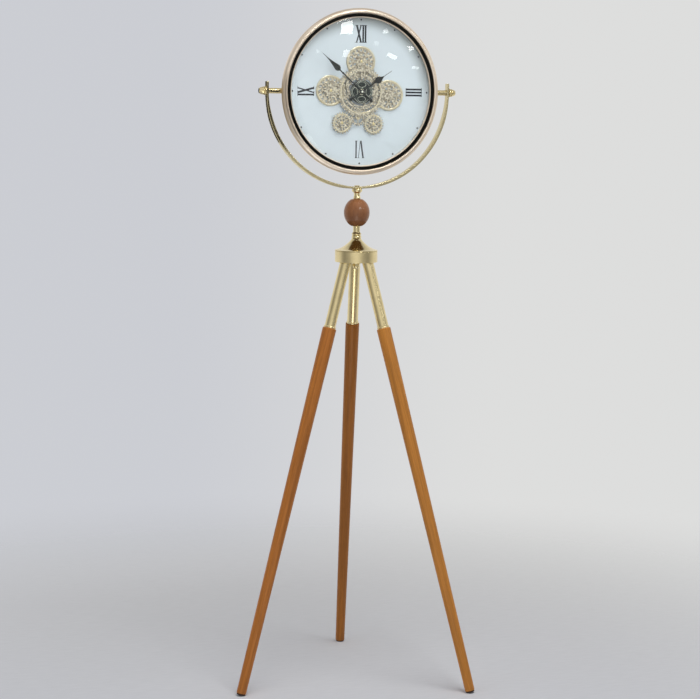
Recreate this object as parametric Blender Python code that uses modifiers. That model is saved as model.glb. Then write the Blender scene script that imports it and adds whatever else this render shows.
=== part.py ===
"""Tripod floor clock: three hinged legs, a turned stem with a wooden ball, a curved yoke,
and a round case that tilts in it, with an open wheel train turning in front of the dial.

Run with blender --background --python part.py, or from Blender's text editor.
Sizes are in metres. +Z is up, the floor is z = 0 and the dial looks along -Y.
"""

import math

import bmesh
import bpy
from mathutils import Matrix, Vector

# Fits between pieces
SEAT_GAP = 0.0003
RUN_GAP = 0.0003
OVERRUN = 0.002
WELD_DISTANCE = 0.00001

# Facets round a full turn
RIM_STEPS = 36
HUB_STEPS = 24
ROUND_STEPS = 16
SMALL_STEPS = 12
PIN_STEPS = 8

# Legs
LEG_LEAN = math.radians(15.7)
LEG_AZIMUTHS = {
    "leg_rear": math.radians(14.6),
    "leg_right": math.radians(134.6),
    "leg_left": math.radians(254.6),
}
TUBE_RADIUS = 0.01275
TUBE_WALL = 0.0012
TUBE_LENGTH = 0.1575
BEAD_RADIUS = 0.0143
BEAD_HEIGHT = 0.005
SOCKET_DEPTH = 0.024
WOOD_TOP_RADIUS = 0.0160
WOOD_FOOT_RADIUS = 0.0110
WOOD_SHOULDER = 0.0022
PAD_RADIUS = 0.0100
PAD_THICKNESS = 0.0030
PAD_TRIM = 0.0012
PAD_EDGE = 0.0005

# Hinges in the hub
PIN_OFFSET = 0.0260
HINGE_PIN_RADIUS = 0.0025
EYE_RADIUS = 0.0060
EYE_CLEARANCE = 0.0020
TONGUE_THICKNESS = 0.0080
TONGUE_NECK = 0.0026
KNUCKLE_FLANGE = 0.0014
PLUG_LENGTH = 0.0240
LUG_THICKNESS = 0.0040
PIN_END_LENGTH = 0.0008

# Hub
RING_BOTTOM_HEIGHT = 0.9766
RING_HEIGHT = 0.0250
RING_WALL = 0.0061
RING_CHAMFER = 0.0008
CORE_PLATE_THICKNESS = 0.0050
BOSS_RADIUS = 0.0090
BOSS_DROP = 0.0052
CAP_HEIGHT = 0.0283
CAP_WALL = 0.0020
CAP_TOP_RADIUS = 0.0106
CAP_LIP_HEIGHT = 0.0016

# Bolt that ties the stack together, and its nut under the ring
BOLT_RADIUS = 0.0040
BOLT_HEAD_RADIUS = 0.0070
BOLT_HEAD_HEIGHT = 0.0024
NUT_RADIUS = 0.0090
NUT_HEX_HEIGHT = 0.0050
NUT_DOME_RADIUS = 0.0072
NUT_DOME_HEIGHT = 0.0070
NUT_BORE_DEPTH = 0.0075

# Turned stem
STEM_LOWER_HEIGHT = 0.0282
STEM_COLLAR_RADIUS = 0.0112
STEM_NECK_RADIUS = 0.0079
BALL_RADIUS = 0.0296
BALL_HEIGHT = 0.0610
BALL_STEPS = 8
BALL_SEAT_RADIUS = 0.0125
STEM_UPPER_HEIGHT = 0.0232
STEM_DISC_RADIUS = 0.0117
STEM_BEAD_RADIUS = 0.0084
STEM_WAIST_RADIUS = 0.0070

# Yoke
YOKE_CLEARANCE = 0.0296
YOKE_THICKNESS = 0.0050
YOKE_DEPTH = 0.0140
YOKE_EDGE = 0.0010
YOKE_END_RISE = 0.0210
YOKE_ARC_STEPS = 30

# Pivots: posts on the case, knobs outside the yoke
POST_RADIUS = 0.0062
POST_COLLAR_RADIUS = 0.0078
POST_COLLAR_LENGTH = 0.0030
POST_STUB_RADIUS = 0.0040
POST_STUB_LENGTH = 0.0080
POST_NUT_RADIUS = 0.0075
POST_NUT_THICKNESS = 0.0035
KNOB_RADIUS = 0.0100
KNOB_END_RADIUS = 0.0062
KNOB_LENGTH = 0.0165
KNOB_COLLAR_LENGTH = 0.0030
KNOB_STUD_RADIUS = 0.0030
KNOB_STUD_SHARE = 0.26

# Case, with distances forward counted from the pivot plane
DIAL_RADIUS = 0.1680
DIAL_FRONT = 0.0116
DIAL_THICKNESS = 0.0015
SHELL_WALL = 0.0013
SHELL_SHOULDER = 0.0020
SHELL_BACK = 0.0200
SHELL_CORNER = 0.0120
BACK_OPENING_RADIUS = 0.0800
COVER_LAP = 0.0100
COVER_THICKNESS = 0.0016
GLASS_THICKNESS = 0.0022
GLASS_LIFT = 0.0050
GLASS_SEAT = 0.0030
GLASS_DOME_POWER = 6
GLASS_RING_SHARES = (0.50, 0.72, 0.86, 0.95)
GLASS_CLEARANCE = 0.0010
SPACER_WALL = 0.0012
RIM_BORDER = 0.0200
RIM_BACK = 0.0090
RIM_WIDEST = 0.0145
RIM_WALL = 0.0012
RIM_BACK_INSET = 0.0070
BLACK_RING_LAP = 0.0004
BLACK_RING_WIDTH = 0.0074
BLACK_RING_HEIGHT = 0.0022
RIM_CROWN = 0.0042
LIP_LAP = 0.0012

# Wheel train, in layers that step forward from the dial
WHEEL_THICKNESS = 0.0013
WHEEL_GAP = 0.0007
TOOTH_MODULE = 0.0020
TOOTH_ADDENDUM_SHARE = 0.85
TOOTH_DEDENDUM_SHARE = 1.10
TOOTH_ROOT_SHARE = 0.34
TOOTH_TIP_SHARE = 0.13
CENTRE_TEETH = 56
REAR_TEETH = 42
IDLER_TEETH = 17
LOWER_TEETH = 23
SIDE_PINION_TEETH = {"top": 12, "left": 16, "right": 13}
SIDE_WHEEL_TEETH = 36
SIDE_WHEEL_RADIUS = 0.0350
SIDE_ANGLES = {"top": math.radians(90.0), "left": math.radians(178.5), "right": math.radians(-6.0)}
SIDE_TOOTH_DEPTH = 0.0020
# Windows cut in each wheel: inner edge, outer edge and arm width as shares of the wheel's radius
CENTRE_RIM_SHARES = (0.616, 0.807, 0.0536)
CENTRE_HUB_SHARES = (0.196, 0.5625, 0.0625)
REAR_SHARES = (0.262, 0.857, 0.0952)
SIDE_RIM_SHARES = (0.643, 0.871, 0.080)
SIDE_HUB_SHARES = (0.186, 0.571, 0.086)
IDLER_SHARES = (0.324, 0.706, 0.147)
LOWER_SHARES = (0.283, 0.761, 0.130)
IDLER_ANGLE = math.radians(-95.8)
LOWER_LEFT_ANGLE = math.radians(197.0)
LOWER_RIGHT_ANGLE = math.radians(-20.2)
STUD_RADIUS = 0.0020
STUD_HEAD_RADIUS = 0.0032
STUD_HEAD_HEIGHT = 0.0010
STUD_FLANGE_RADIUS = 0.0040
STUD_FLANGE_THICKNESS = 0.0012
BUSH_RADIUS = 0.0060
BUSH_BORE = 0.0039
BUSH_SHOULDER_RADIUS = 0.0085
CENTRE_RING_HEIGHT = 0.0010
BRIDGE_RADIUS = 0.0370
BRIDGE_WIDTH = 0.0055
BRIDGE_OFFSET = 0.0155
BRIDGE_THICKNESS = 0.0008
BRIDGE_ARM_WIDTH = 0.0045
DISC_RADIUS = 0.0270
DISC_THICKNESS = 0.0008
CROSS_RADIUS = 0.0262
CROSS_RIM_WIDTH = 0.0018
CROSS_ARM_WIDTH = 0.0026
CROSS_HUB_RADIUS = 0.0080
CROSS_THICKNESS = 0.0006

# Hands
HOUR_ANGLE = math.radians(56.0)
MINUTE_ANGLE = math.radians(312.0)
HAND_THICKNESS = 0.0008
HOUR_LENGTH_SHARE = 0.515
HOUR_SPADE_SHARE = 0.578
HOUR_SPADE_WIDTH = 0.0150
HOUR_TAIL = 0.0320
HOUR_TAIL_BALL = 0.0036
MINUTE_LENGTH_SHARE = 0.765
MINUTE_SPADE_SHARE = 0.638
MINUTE_SPADE_WIDTH = 0.0140
MINUTE_TAIL = 0.0300
MINUTE_TAIL_BALL = 0.0043
HAND_SHAFT_WIDTH = 0.0026
HAND_TIP_WIDTH = 0.0012
HAND_HUB_RADIUS = 0.0055
HOUR_PIPE_RADIUS = 0.0036
MINUTE_ARBOR_RADIUS = 0.0016
HAND_NUT_RADIUS = 0.0036
HAND_NUT_HEIGHT = 0.0026

# Works behind the dial
MOVEMENT_SIDE = 0.0560
MOVEMENT_DEPTH = 0.0150
MOVEMENT_DROP = 0.0090
MOVEMENT_EDGE = 0.0020
MOTOR_WIDTH = 0.0460
MOTOR_HEIGHT = 0.0320
MOTOR_DEPTH = 0.0160
MOTOR_SIDE_STEP = 0.0080
ARBOR_DEPTH = 0.0060
CELL_RADIUS = 0.0071
CELL_LENGTH = 0.0488
CELL_NUB_RADIUS = 0.0027
CELL_NUB_LENGTH = 0.0015
TRAY_DEPTH = 0.0100
TRAY_WALL = 0.0015
TRAY_OFFSET = 0.0470
SETTING_KNOB_RADIUS = 0.0080
SETTING_KNOB_LENGTH = 0.0165
SETTING_KNOB_DROP = 0.0150
SETTING_HOLE_CLEARANCE = 0.0030
SETTING_SHAFT_RADIUS = 0.0015
SETTING_SHAFT_LENGTH = 0.0035

# Colour, roughness and metallic value of each finish
FINISHES = {
    "brass": ((0.72, 0.60, 0.33), 0.22, 1.0),
    "champagne": ((0.74, 0.60, 0.45), 0.30, 1.0),
    "wood": ((0.29, 0.125, 0.035), 0.42, 0.0),
    "ball_wood": ((0.17, 0.075, 0.035), 0.32, 0.0),
    "rubber": ((0.02, 0.02, 0.02), 0.80, 0.0),
    "black_gloss": ((0.008, 0.008, 0.008), 0.12, 0.0),
    "glass": ((0.95, 0.97, 0.97), 0.03, 0.0),
    "dial": ((0.72, 0.78, 0.84), 0.45, 0.0),
    "wheel_gold": ((0.75, 0.66, 0.44), 0.28, 1.0),
    "mirror": ((0.22, 0.33, 0.33), 0.08, 1.0),
    "silver": ((0.70, 0.72, 0.70), 0.20, 1.0),
    "hand_black": ((0.012, 0.014, 0.015), 0.35, 0.0),
    "steel": ((0.50, 0.50, 0.50), 0.35, 1.0),
    "plastic": ((0.03, 0.03, 0.03), 0.55, 0.0),
    "cell": ((0.10, 0.10, 0.12), 0.35, 0.5),
}

# Heights and distances worked out from the sizes above
RING_TOP = RING_BOTTOM_HEIGHT + RING_HEIGHT
CORE_PLATE_BOTTOM = RING_TOP - CORE_PLATE_THICKNESS
PIN_HEIGHT = CORE_PLATE_BOTTOM - EYE_CLEARANCE - EYE_RADIUS
PIN_ABOVE_RING = PIN_HEIGHT - RING_BOTTOM_HEIGHT
RING_INNER = (
    PIN_OFFSET
    + PIN_ABOVE_RING * math.tan(LEG_LEAN)
    + (TUBE_RADIUS + SEAT_GAP) / math.cos(LEG_LEAN)
)
RING_RADIUS = RING_INNER + RING_WALL
BOSS_BOTTOM = RING_BOTTOM_HEIGHT - BOSS_DROP
CAP_BOTTOM = RING_TOP + SEAT_GAP
STEM_LOWER_BOTTOM = CAP_BOTTOM + CAP_HEIGHT + SEAT_GAP
BALL_BOTTOM = STEM_LOWER_BOTTOM + STEM_LOWER_HEIGHT + SEAT_GAP
STEM_UPPER_BOTTOM = BALL_BOTTOM + BALL_HEIGHT + SEAT_GAP
YOKE_BOTTOM = STEM_UPPER_BOTTOM + STEM_UPPER_HEIGHT + SEAT_GAP
RIM_RADIUS = DIAL_RADIUS + RIM_BORDER
BLACK_RING_INNER = DIAL_RADIUS + BLACK_RING_LAP
BLACK_RING_OUTER = BLACK_RING_INNER + BLACK_RING_WIDTH
LIP_INNER = DIAL_RADIUS - LIP_LAP
HOUR_LENGTH = HOUR_LENGTH_SHARE * DIAL_RADIUS
HOUR_SPADE = HOUR_SPADE_SHARE * HOUR_LENGTH
MINUTE_LENGTH = MINUTE_LENGTH_SHARE * DIAL_RADIUS
MINUTE_SPADE = MINUTE_SPADE_SHARE * MINUTE_LENGTH
YOKE_RADIUS = RIM_RADIUS + YOKE_CLEARANCE
YOKE_INNER = YOKE_RADIUS - YOKE_THICKNESS / 2
YOKE_OUTER = YOKE_RADIUS + YOKE_THICKNESS / 2
PIVOT_HEIGHT = YOKE_BOTTOM + YOKE_OUTER
BOLT_BORE = BOLT_RADIUS + SEAT_GAP
YOKE_CHORD_SLOPE = math.tan(math.pi / 2 / YOKE_ARC_STEPS)

FLANGE_START = EYE_RADIUS + TONGUE_NECK
TUBE_START = FLANGE_START + KNUCKLE_FLANGE + SEAT_GAP
TUBE_END = TUBE_START + TUBE_LENGTH
PAD_END_HEIGHT = PAD_RADIUS * math.sin(LEG_LEAN) - PAD_TRIM
PAD_END = (PIN_HEIGHT - PAD_END_HEIGHT) / math.cos(LEG_LEAN)
WOOD_END = PAD_END - PAD_THICKNESS - SEAT_GAP


def layer_back(number):
    """Distance forward to the back of one layer of the wheel train."""
    return DIAL_FRONT + WHEEL_GAP + number * (WHEEL_THICKNESS + WHEEL_GAP)


def layer_front(number):
    return layer_back(number) + WHEEL_THICKNESS


BRIDGE_BACK = layer_front(2) + CENTRE_RING_HEIGHT + WHEEL_GAP
DISC_BACK = BRIDGE_BACK + BRIDGE_THICKNESS + SEAT_GAP
CROSS_BACK = DISC_BACK + DISC_THICKNESS + SEAT_GAP
BUSH_FRONT = CROSS_BACK + CROSS_THICKNESS + SEAT_GAP
HOUR_BACK = BUSH_FRONT + RUN_GAP
MINUTE_BACK = HOUR_BACK + HAND_THICKNESS + WHEEL_GAP
HAND_NUT_BACK = MINUTE_BACK + HAND_THICKNESS + SEAT_GAP
GLASS_BACK = HAND_NUT_BACK + HAND_NUT_HEIGHT + GLASS_CLEARANCE
GLASS_FRONT = GLASS_BACK + GLASS_THICKNESS
GLASS_EDGE_BACK = DIAL_FRONT + GLASS_LIFT
GLASS_EDGE_FRONT = GLASS_EDGE_BACK + GLASS_THICKNESS
DIAL_BACK = DIAL_FRONT - DIAL_THICKNESS
SHELL_INNER = DIAL_RADIUS + SEAT_GAP
SHELL_FRONT_OUTER = SHELL_INNER + SHELL_WALL
SHELL_REAR_INNER = SHELL_INNER - SHELL_SHOULDER
SHELL_RADIUS = SHELL_REAR_INNER + SHELL_WALL
SHOULDER_FRONT = DIAL_BACK - SEAT_GAP
FLANGE_BACK = GLASS_EDGE_FRONT + SEAT_GAP
FLANGE_FRONT = FLANGE_BACK + RIM_WALL
RIM_FRONT = FLANGE_FRONT + RIM_CROWN
BACK_OUTSIDE = -SHELL_BACK
BACK_INSIDE = BACK_OUTSIDE + SHELL_WALL
COVER_FRONT = BACK_OUTSIDE - SEAT_GAP
COVER_BACK = COVER_FRONT - COVER_THICKNESS
COVER_RADIUS = BACK_OPENING_RADIUS + COVER_LAP
WORKS_FRONT = DIAL_BACK - SEAT_GAP

CENTRE_PITCH = CENTRE_TEETH * TOOTH_MODULE / 2
REAR_PITCH = REAR_TEETH * TOOTH_MODULE / 2
IDLER_PITCH = IDLER_TEETH * TOOTH_MODULE / 2
LOWER_PITCH = LOWER_TEETH * TOOTH_MODULE / 2
IDLER_DISTANCE = REAR_PITCH + IDLER_PITCH
LOWER_DISTANCE = IDLER_PITCH + LOWER_PITCH


def polar(radius, angle):
    return Vector((radius * math.cos(angle), radius * math.sin(angle)))


IDLER_PLACE = polar(IDLER_DISTANCE, IDLER_ANGLE)
LOWER_PLACES = {
    "lower_left": (IDLER_PLACE + polar(LOWER_DISTANCE, LOWER_LEFT_ANGLE), LOWER_LEFT_ANGLE),
    "lower_right": (IDLER_PLACE + polar(LOWER_DISTANCE, LOWER_RIGHT_ANGLE), LOWER_RIGHT_ANGLE),
}
SIDE_PLACES = {
    side: polar(CENTRE_PITCH + teeth * TOOTH_MODULE / 2, SIDE_ANGLES[side])
    for side, teeth in SIDE_PINION_TEETH.items()
}


# Scene, collections and frames

for existing in list(bpy.data.objects):
    bpy.data.objects.remove(existing)

clock = bpy.data.collections.new("tripod_floor_clock")
tools = bpy.data.collections.new("cutters")
bpy.context.scene.collection.children.link(clock)
bpy.context.scene.collection.children.link(tools)


def add_frame(name, parent, location=(0, 0, 0), rotation=(0, 0, 0)):
    """An empty that carries the pieces drawn in its own axes."""
    frame = bpy.data.objects.new(name, None)
    frame.location = location
    frame.rotation_euler = rotation
    frame.parent = parent
    clock.objects.link(frame)
    return frame


def add_object(name, mesh, finish, frame):
    colour, roughness, metallic = FINISHES[finish]
    material = bpy.data.materials.new(name + "_finish")
    material.use_nodes = True
    shader = material.node_tree.nodes["Principled BSDF"]
    shader.inputs["Base Color"].default_value = (*colour, 1)
    shader.inputs["Roughness"].default_value = roughness
    shader.inputs["Metallic"].default_value = metallic
    mesh.materials.append(material)
    obj = bpy.data.objects.new(name, mesh)
    obj.parent = frame
    clock.objects.link(obj)
    return obj


# Shapes

def signed_area(points):
    total = 0
    for (x0, y0), (x1, y1) in zip(points, points[1:] + points[:1]):
        total += x0 * y1 - x1 * y0
    return total / 2


def turned(name, profile, finish, frame, steps=ROUND_STEPS, smooth_angle=35, closed=True):
    """Revolve (radius, height) points about the frame's Z axis.

    A closed profile goes all the way round its section; an open one starts and ends on the axis.
    """
    points = [tuple(point) for point in profile]
    if signed_area(points) > 0:
        points.reverse()
    count = len(points)
    edges = [(index, index + 1) for index in range(count - 1)]
    if closed:
        edges.append((count - 1, 0))
    mesh = bpy.data.meshes.new(name)
    mesh.from_pydata([(radius, 0, height) for radius, height in points], edges, [])
    obj = add_object(name, mesh, finish, frame)
    screw = obj.modifiers.new("Turn", "SCREW")
    screw.steps = steps
    screw.render_steps = steps
    screw.use_merge_vertices = True
    screw.merge_threshold = WELD_DISTANCE
    evaluated = obj.evaluated_get(bpy.context.evaluated_depsgraph_get())
    solid = bpy.data.meshes.new_from_object(evaluated)
    obj.modifiers.remove(screw)
    obj.data = solid
    bpy.data.meshes.remove(mesh)
    smooth_round(solid, smooth_angle)
    return obj


def smooth_round(mesh, angle):
    mesh.shade_smooth()
    mesh.set_sharp_from_angle(angle=math.radians(angle))


def plate_mesh(name, loops, low, thickness):
    """A flat outline with holes, drawn in XY and standing from z = low."""
    curve = bpy.data.curves.new(name, "CURVE")
    curve.dimensions = "2D"
    curve.fill_mode = "BOTH"
    curve.extrude = thickness / 2
    for loop in loops:
        spline = curve.splines.new("POLY")
        spline.points.add(len(loop) - 1)
        for point, (x, y) in zip(spline.points, loop):
            point.co = (x, y, 0, 1)
        spline.use_cyclic_u = True
    outline = bpy.data.objects.new(name + "_outline", curve)
    tools.objects.link(outline)
    evaluated = outline.evaluated_get(bpy.context.evaluated_depsgraph_get())
    mesh = bpy.data.meshes.new_from_object(evaluated)
    bpy.data.objects.remove(outline)
    bpy.data.curves.remove(curve)
    shape = bmesh.new()
    shape.from_mesh(mesh)
    bmesh.ops.remove_doubles(shape, verts=shape.verts, dist=WELD_DISTANCE)
    bmesh.ops.translate(shape, verts=shape.verts, vec=(0, 0, low + thickness / 2))
    bmesh.ops.recalc_face_normals(shape, faces=shape.faces)
    shape.to_mesh(mesh)
    shape.free()
    return mesh


def plate(name, loops, low, thickness, finish, frame):
    mesh = plate_mesh(name, loops, low, thickness)
    mesh.materials.clear()
    return add_object(name, mesh, finish, frame)


def add_rod(shape, radius, start, end, steps=SMALL_STEPS):
    """Add a plain cylinder between two points to a bmesh."""
    start = Vector(start)
    end = Vector(end)
    turn = (end - start).to_track_quat("Z", "Y").to_matrix().to_4x4()
    place = Matrix.Translation((start + end) / 2) @ turn
    bmesh.ops.create_cone(
        shape,
        cap_ends=True,
        segments=steps,
        radius1=radius,
        radius2=radius,
        depth=(end - start).length,
        matrix=place,
    )


def rods_mesh(name, rods, steps=SMALL_STEPS):
    shape = bmesh.new()
    for radius, start, end in rods:
        add_rod(shape, radius, start, end, steps)
    mesh = bpy.data.meshes.new(name)
    shape.to_mesh(mesh)
    shape.free()
    return mesh


def bores_mesh(name, rods, steps=SMALL_STEPS):
    """Cutters whose flats, not only their corners, reach the given radius."""
    widened = [(radius / math.cos(math.pi / steps), start, end) for radius, start, end in rods]
    return rods_mesh(name, widened, steps)


def block_mesh(name, size, centre):
    shape = bmesh.new()
    place = Matrix.Translation(centre) @ Matrix.Diagonal((*size, 1))
    bmesh.ops.create_cube(shape, size=1, matrix=place)
    mesh = bpy.data.meshes.new(name)
    shape.to_mesh(mesh)
    shape.free()
    return mesh


def tool_object(name, mesh, frame):
    tool = bpy.data.objects.new(name, mesh)
    tool.parent = frame
    tool.hide_render = True
    tool.display_type = "WIRE"
    tools.objects.link(tool)
    return tool


def combine(target, mesh, frame, operation="DIFFERENCE"):
    """Cut a tool mesh from a piece, or join it on."""
    name = target.name + "_" + operation.lower()
    tool = tool_object(name, mesh, frame)
    modifier = target.modifiers.new(name, "BOOLEAN")
    modifier.operation = operation
    modifier.solver = "EXACT"
    modifier.object = tool
    return tool


def bevel(obj, width, segments=1, angle=40):
    modifier = obj.modifiers.new("Edges", "BEVEL")
    modifier.width = width
    modifier.segments = segments
    modifier.limit_method = "ANGLE"
    modifier.angle_limit = math.radians(angle)


def circle(radius, steps, centre=(0, 0), start=0):
    points = []
    for step in range(steps):
        angle = start + 2 * math.pi * step / steps
        points.append((centre[0] + radius * math.cos(angle), centre[1] + radius * math.sin(angle)))
    return points


def hole(radius, steps, centre=(0, 0)):
    """A circle of flats that all clear a shaft of the given radius."""
    return circle(radius / math.cos(math.pi / steps), steps, centre)


def arc(radius, start, end, steps, centre=(0, 0)):
    points = []
    for step in range(steps + 1):
        angle = start + (end - start) * step / steps
        points.append((centre[0] + radius * math.cos(angle), centre[1] + radius * math.sin(angle)))
    return points


def tooth_outline(teeth, module, phase):
    """Trapezoid teeth on a pitch circle, with one tooth centred on the angle phase."""
    pitch_radius = teeth * module / 2
    tip = pitch_radius + TOOTH_ADDENDUM_SHARE * module
    root = pitch_radius - TOOTH_DEDENDUM_SHARE * module
    step = 2 * math.pi / teeth
    points = []
    for tooth in range(teeth):
        middle = phase + tooth * step
        for radius, share in (
            (root, -TOOTH_ROOT_SHARE),
            (tip, -TOOTH_TIP_SHARE),
            (tip, TOOTH_TIP_SHARE),
            (root, TOOTH_ROOT_SHARE),
        ):
            angle = middle + share * step
            points.append((radius * math.cos(angle), radius * math.sin(angle)))
    return points


def serrated_outline(teeth, radius, depth):
    """Fine pointed teeth for the edge of a wheel that meshes with nothing."""
    points = []
    for tooth in range(teeth):
        for share, reach in ((0, radius), (0.5, radius - depth)):
            angle = 2 * math.pi * (tooth + share) / teeth
            points.append((reach * math.cos(angle), reach * math.sin(angle)))
    return points


def meshed_phase(driver_teeth, driver_phase, teeth, direction):
    """Phase that puts a gap of the driven wheel over the driver's tooth nearest to the line of centres."""
    turns = (direction - driver_phase) * driver_teeth / (2 * math.pi)
    offset = turns - math.floor(turns)
    return direction + math.pi + (offset + 0.5) * 2 * math.pi / teeth


def windows(inner, outer, count, arm_width, phase=0, steps=4):
    """Openings between a hub and a rim, with straight-sided arms between them."""
    loops = []
    for index in range(count):
        middle = phase + 2 * math.pi * (index + 0.5) / count
        half_outer = math.pi / count - math.asin(arm_width / 2 / outer)
        half_inner = math.pi / count - math.asin(arm_width / 2 / inner)
        outside = arc(outer, middle - half_outer, middle + half_outer, steps)
        inside = arc(inner, middle + half_inner, middle - half_inner, max(1, steps // 2))
        loops.append(outside + inside)
    return loops


def wheel_windows(radius, shares, count, phase=0, steps=2):
    """Windows of a wheel, from the shares of its radius."""
    inner, outer, arm_width = [share * radius for share in shares]
    return windows(inner, outer, count, arm_width, phase, steps)


def ring_profile(inner, outer, low, high, edge=0):
    """Section of a plain ring, with small chamfers on its outer corners."""
    if not edge:
        return [(inner, high), (outer, high), (outer, low), (inner, low)]
    return [
        (inner, high),
        (outer - edge, high),
        (outer, high - edge),
        (outer, low + edge),
        (outer - edge, low),
        (inner, low),
    ]


# Stand

def build_hub(stand):
    turned(
        "hub_ring",
        ring_profile(RING_INNER, RING_RADIUS, RING_BOTTOM_HEIGHT, RING_TOP, RING_CHAMFER),
        "brass",
        stand,
        HUB_STEPS,
    )
    core_radius = RING_INNER - SEAT_GAP
    core = turned(
        "hub_core",
        [
            (BOLT_BORE, RING_TOP),
            (core_radius, RING_TOP),
            (core_radius, CORE_PLATE_BOTTOM),
            (BOSS_RADIUS, CORE_PLATE_BOTTOM),
            (BOSS_RADIUS, BOSS_BOTTOM),
            (BOLT_BORE, BOSS_BOTTOM),
        ],
        "brass",
        stand,
        HUB_STEPS,
    )
    lug_top = CORE_PLATE_BOTTOM + CORE_PLATE_THICKNESS / 2
    lug_outline = arc(EYE_RADIUS, math.pi, 2 * math.pi, SMALL_STEPS // 2)
    lug_outline += [(EYE_RADIUS, lug_top - PIN_HEIGHT), (-EYE_RADIUS, lug_top - PIN_HEIGHT)]
    lug_inside = TONGUE_THICKNESS / 2 + RUN_GAP
    pin_half = lug_inside + LUG_THICKNESS + PIN_END_LENGTH
    pins = []
    for name, azimuth in LEG_AZIMUTHS.items():
        hinge = add_frame(name + "_lugs", stand, (0, 0, PIN_HEIGHT), (0, 0, math.pi / 2 - azimuth))
        for low in (lug_inside, -lug_inside - LUG_THICKNESS):
            mesh = plate_mesh("lug", [lug_outline], low, LUG_THICKNESS)
            mesh.transform(Matrix.Translation((PIN_OFFSET, 0, 0)) @ Matrix.Rotation(math.pi / 2, 4, "X"))
            combine(core, mesh, hinge, "UNION")
        outward = Vector((math.sin(azimuth), math.cos(azimuth), 0))
        across = Vector((-outward.y, outward.x, 0))
        middle = outward * PIN_OFFSET + Vector((0, 0, PIN_HEIGHT))
        pins.append((HINGE_PIN_RADIUS, middle - across * pin_half, middle + across * pin_half))
    bores = [
        (HINGE_PIN_RADIUS + RUN_GAP, start + (start - end).normalized() * OVERRUN,
         end + (end - start).normalized() * OVERRUN)
        for radius, start, end in pins
    ]
    combine(core, bores_mesh("pin_bores", bores, PIN_STEPS), stand)
    for name, pin in zip(LEG_AZIMUTHS, pins):
        pin_mesh = rods_mesh(name + "_pin", [pin], PIN_STEPS)
        smooth_round(pin_mesh, 35)
        add_object(name + "_pin", pin_mesh, "steel", stand)


CAP_FLARE_SHARES = [
    (1.00, 0.00), (0.80, 0.055), (0.60, 0.14), (0.40, 0.28), (0.22, 0.47), (0.09, 0.70), (0.00, 1.00),
]


def build_cap(stand):
    flare_low = CAP_BOTTOM + CAP_LIP_HEIGHT
    flare_height = CAP_HEIGHT - CAP_LIP_HEIGHT
    flare_width = RING_RADIUS - CAP_TOP_RADIUS
    outside = [(RING_RADIUS, CAP_BOTTOM)]
    for out_share, up_share in CAP_FLARE_SHARES:
        outside.append((CAP_TOP_RADIUS + out_share * flare_width, flare_low + up_share * flare_height))
    inside = []
    hollow_top = CAP_BOTTOM + CAP_HEIGHT - CAP_WALL
    for out_share, up_share in CAP_FLARE_SHARES[1:-2]:
        inside.append((
            CAP_TOP_RADIUS + out_share * flare_width - CAP_WALL,
            min(flare_low + up_share * flare_height - CAP_WALL / 2, hollow_top),
        ))
    inside = [(RING_RADIUS - CAP_WALL * 2, CAP_BOTTOM)] + inside[1:]
    profile = outside + [(BOLT_BORE, CAP_BOTTOM + CAP_HEIGHT), (BOLT_BORE, inside[-1][1])]
    turned("hub_cap", profile + inside[::-1], "brass", stand, HUB_STEPS)


STEM_LOWER_SHARES = [
    ("collar", 0.95, 0.00), ("collar", 1.00, 0.12), ("collar", 0.86, 0.26), ("collar", 0.97, 0.36),
    ("neck", 1.05, 0.50), ("neck", 1.00, 0.78), ("neck", 1.22, 1.00),
]
STEM_UPPER_SHARES = [
    ("bead", 0.92, 0.00), ("bead", 1.00, 0.14), ("bead", 0.88, 0.28), ("waist", 1.00, 0.38),
    ("waist", 1.00, 0.58), ("disc", 0.96, 0.74), ("disc", 1.00, 0.88), ("disc", 0.94, 1.00),
]


def build_stem(stand):
    widths = {
        "collar": STEM_COLLAR_RADIUS,
        "neck": STEM_NECK_RADIUS,
        "bead": STEM_BEAD_RADIUS,
        "waist": STEM_WAIST_RADIUS,
        "disc": STEM_DISC_RADIUS,
    }
    for name, shares, low, height in (
        ("stem_lower", STEM_LOWER_SHARES, STEM_LOWER_BOTTOM, STEM_LOWER_HEIGHT),
        ("stem_upper", STEM_UPPER_SHARES, STEM_UPPER_BOTTOM, STEM_UPPER_HEIGHT),
    ):
        outside = [(widths[part] * share, low + up * height) for part, share, up in shares]
        profile = [(BOLT_BORE, low)] + outside + [(BOLT_BORE, low + height)]
        turned(name, profile, "brass", stand)
    seat_angle = math.acos(BALL_SEAT_RADIUS / BALL_RADIUS)
    half_height = BALL_HEIGHT / 2
    stretch = half_height / math.sin(seat_angle)
    middle = BALL_BOTTOM + half_height
    profile = [(BOLT_BORE, BALL_BOTTOM)]
    for step in range(BALL_STEPS + 1):
        angle = -seat_angle + 2 * seat_angle * step / BALL_STEPS
        profile.append((BALL_RADIUS * math.cos(angle), middle + stretch * math.sin(angle)))
    profile.append((BOLT_BORE, BALL_BOTTOM + BALL_HEIGHT))
    turned("stem_ball", profile, "ball_wood", stand)


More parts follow.
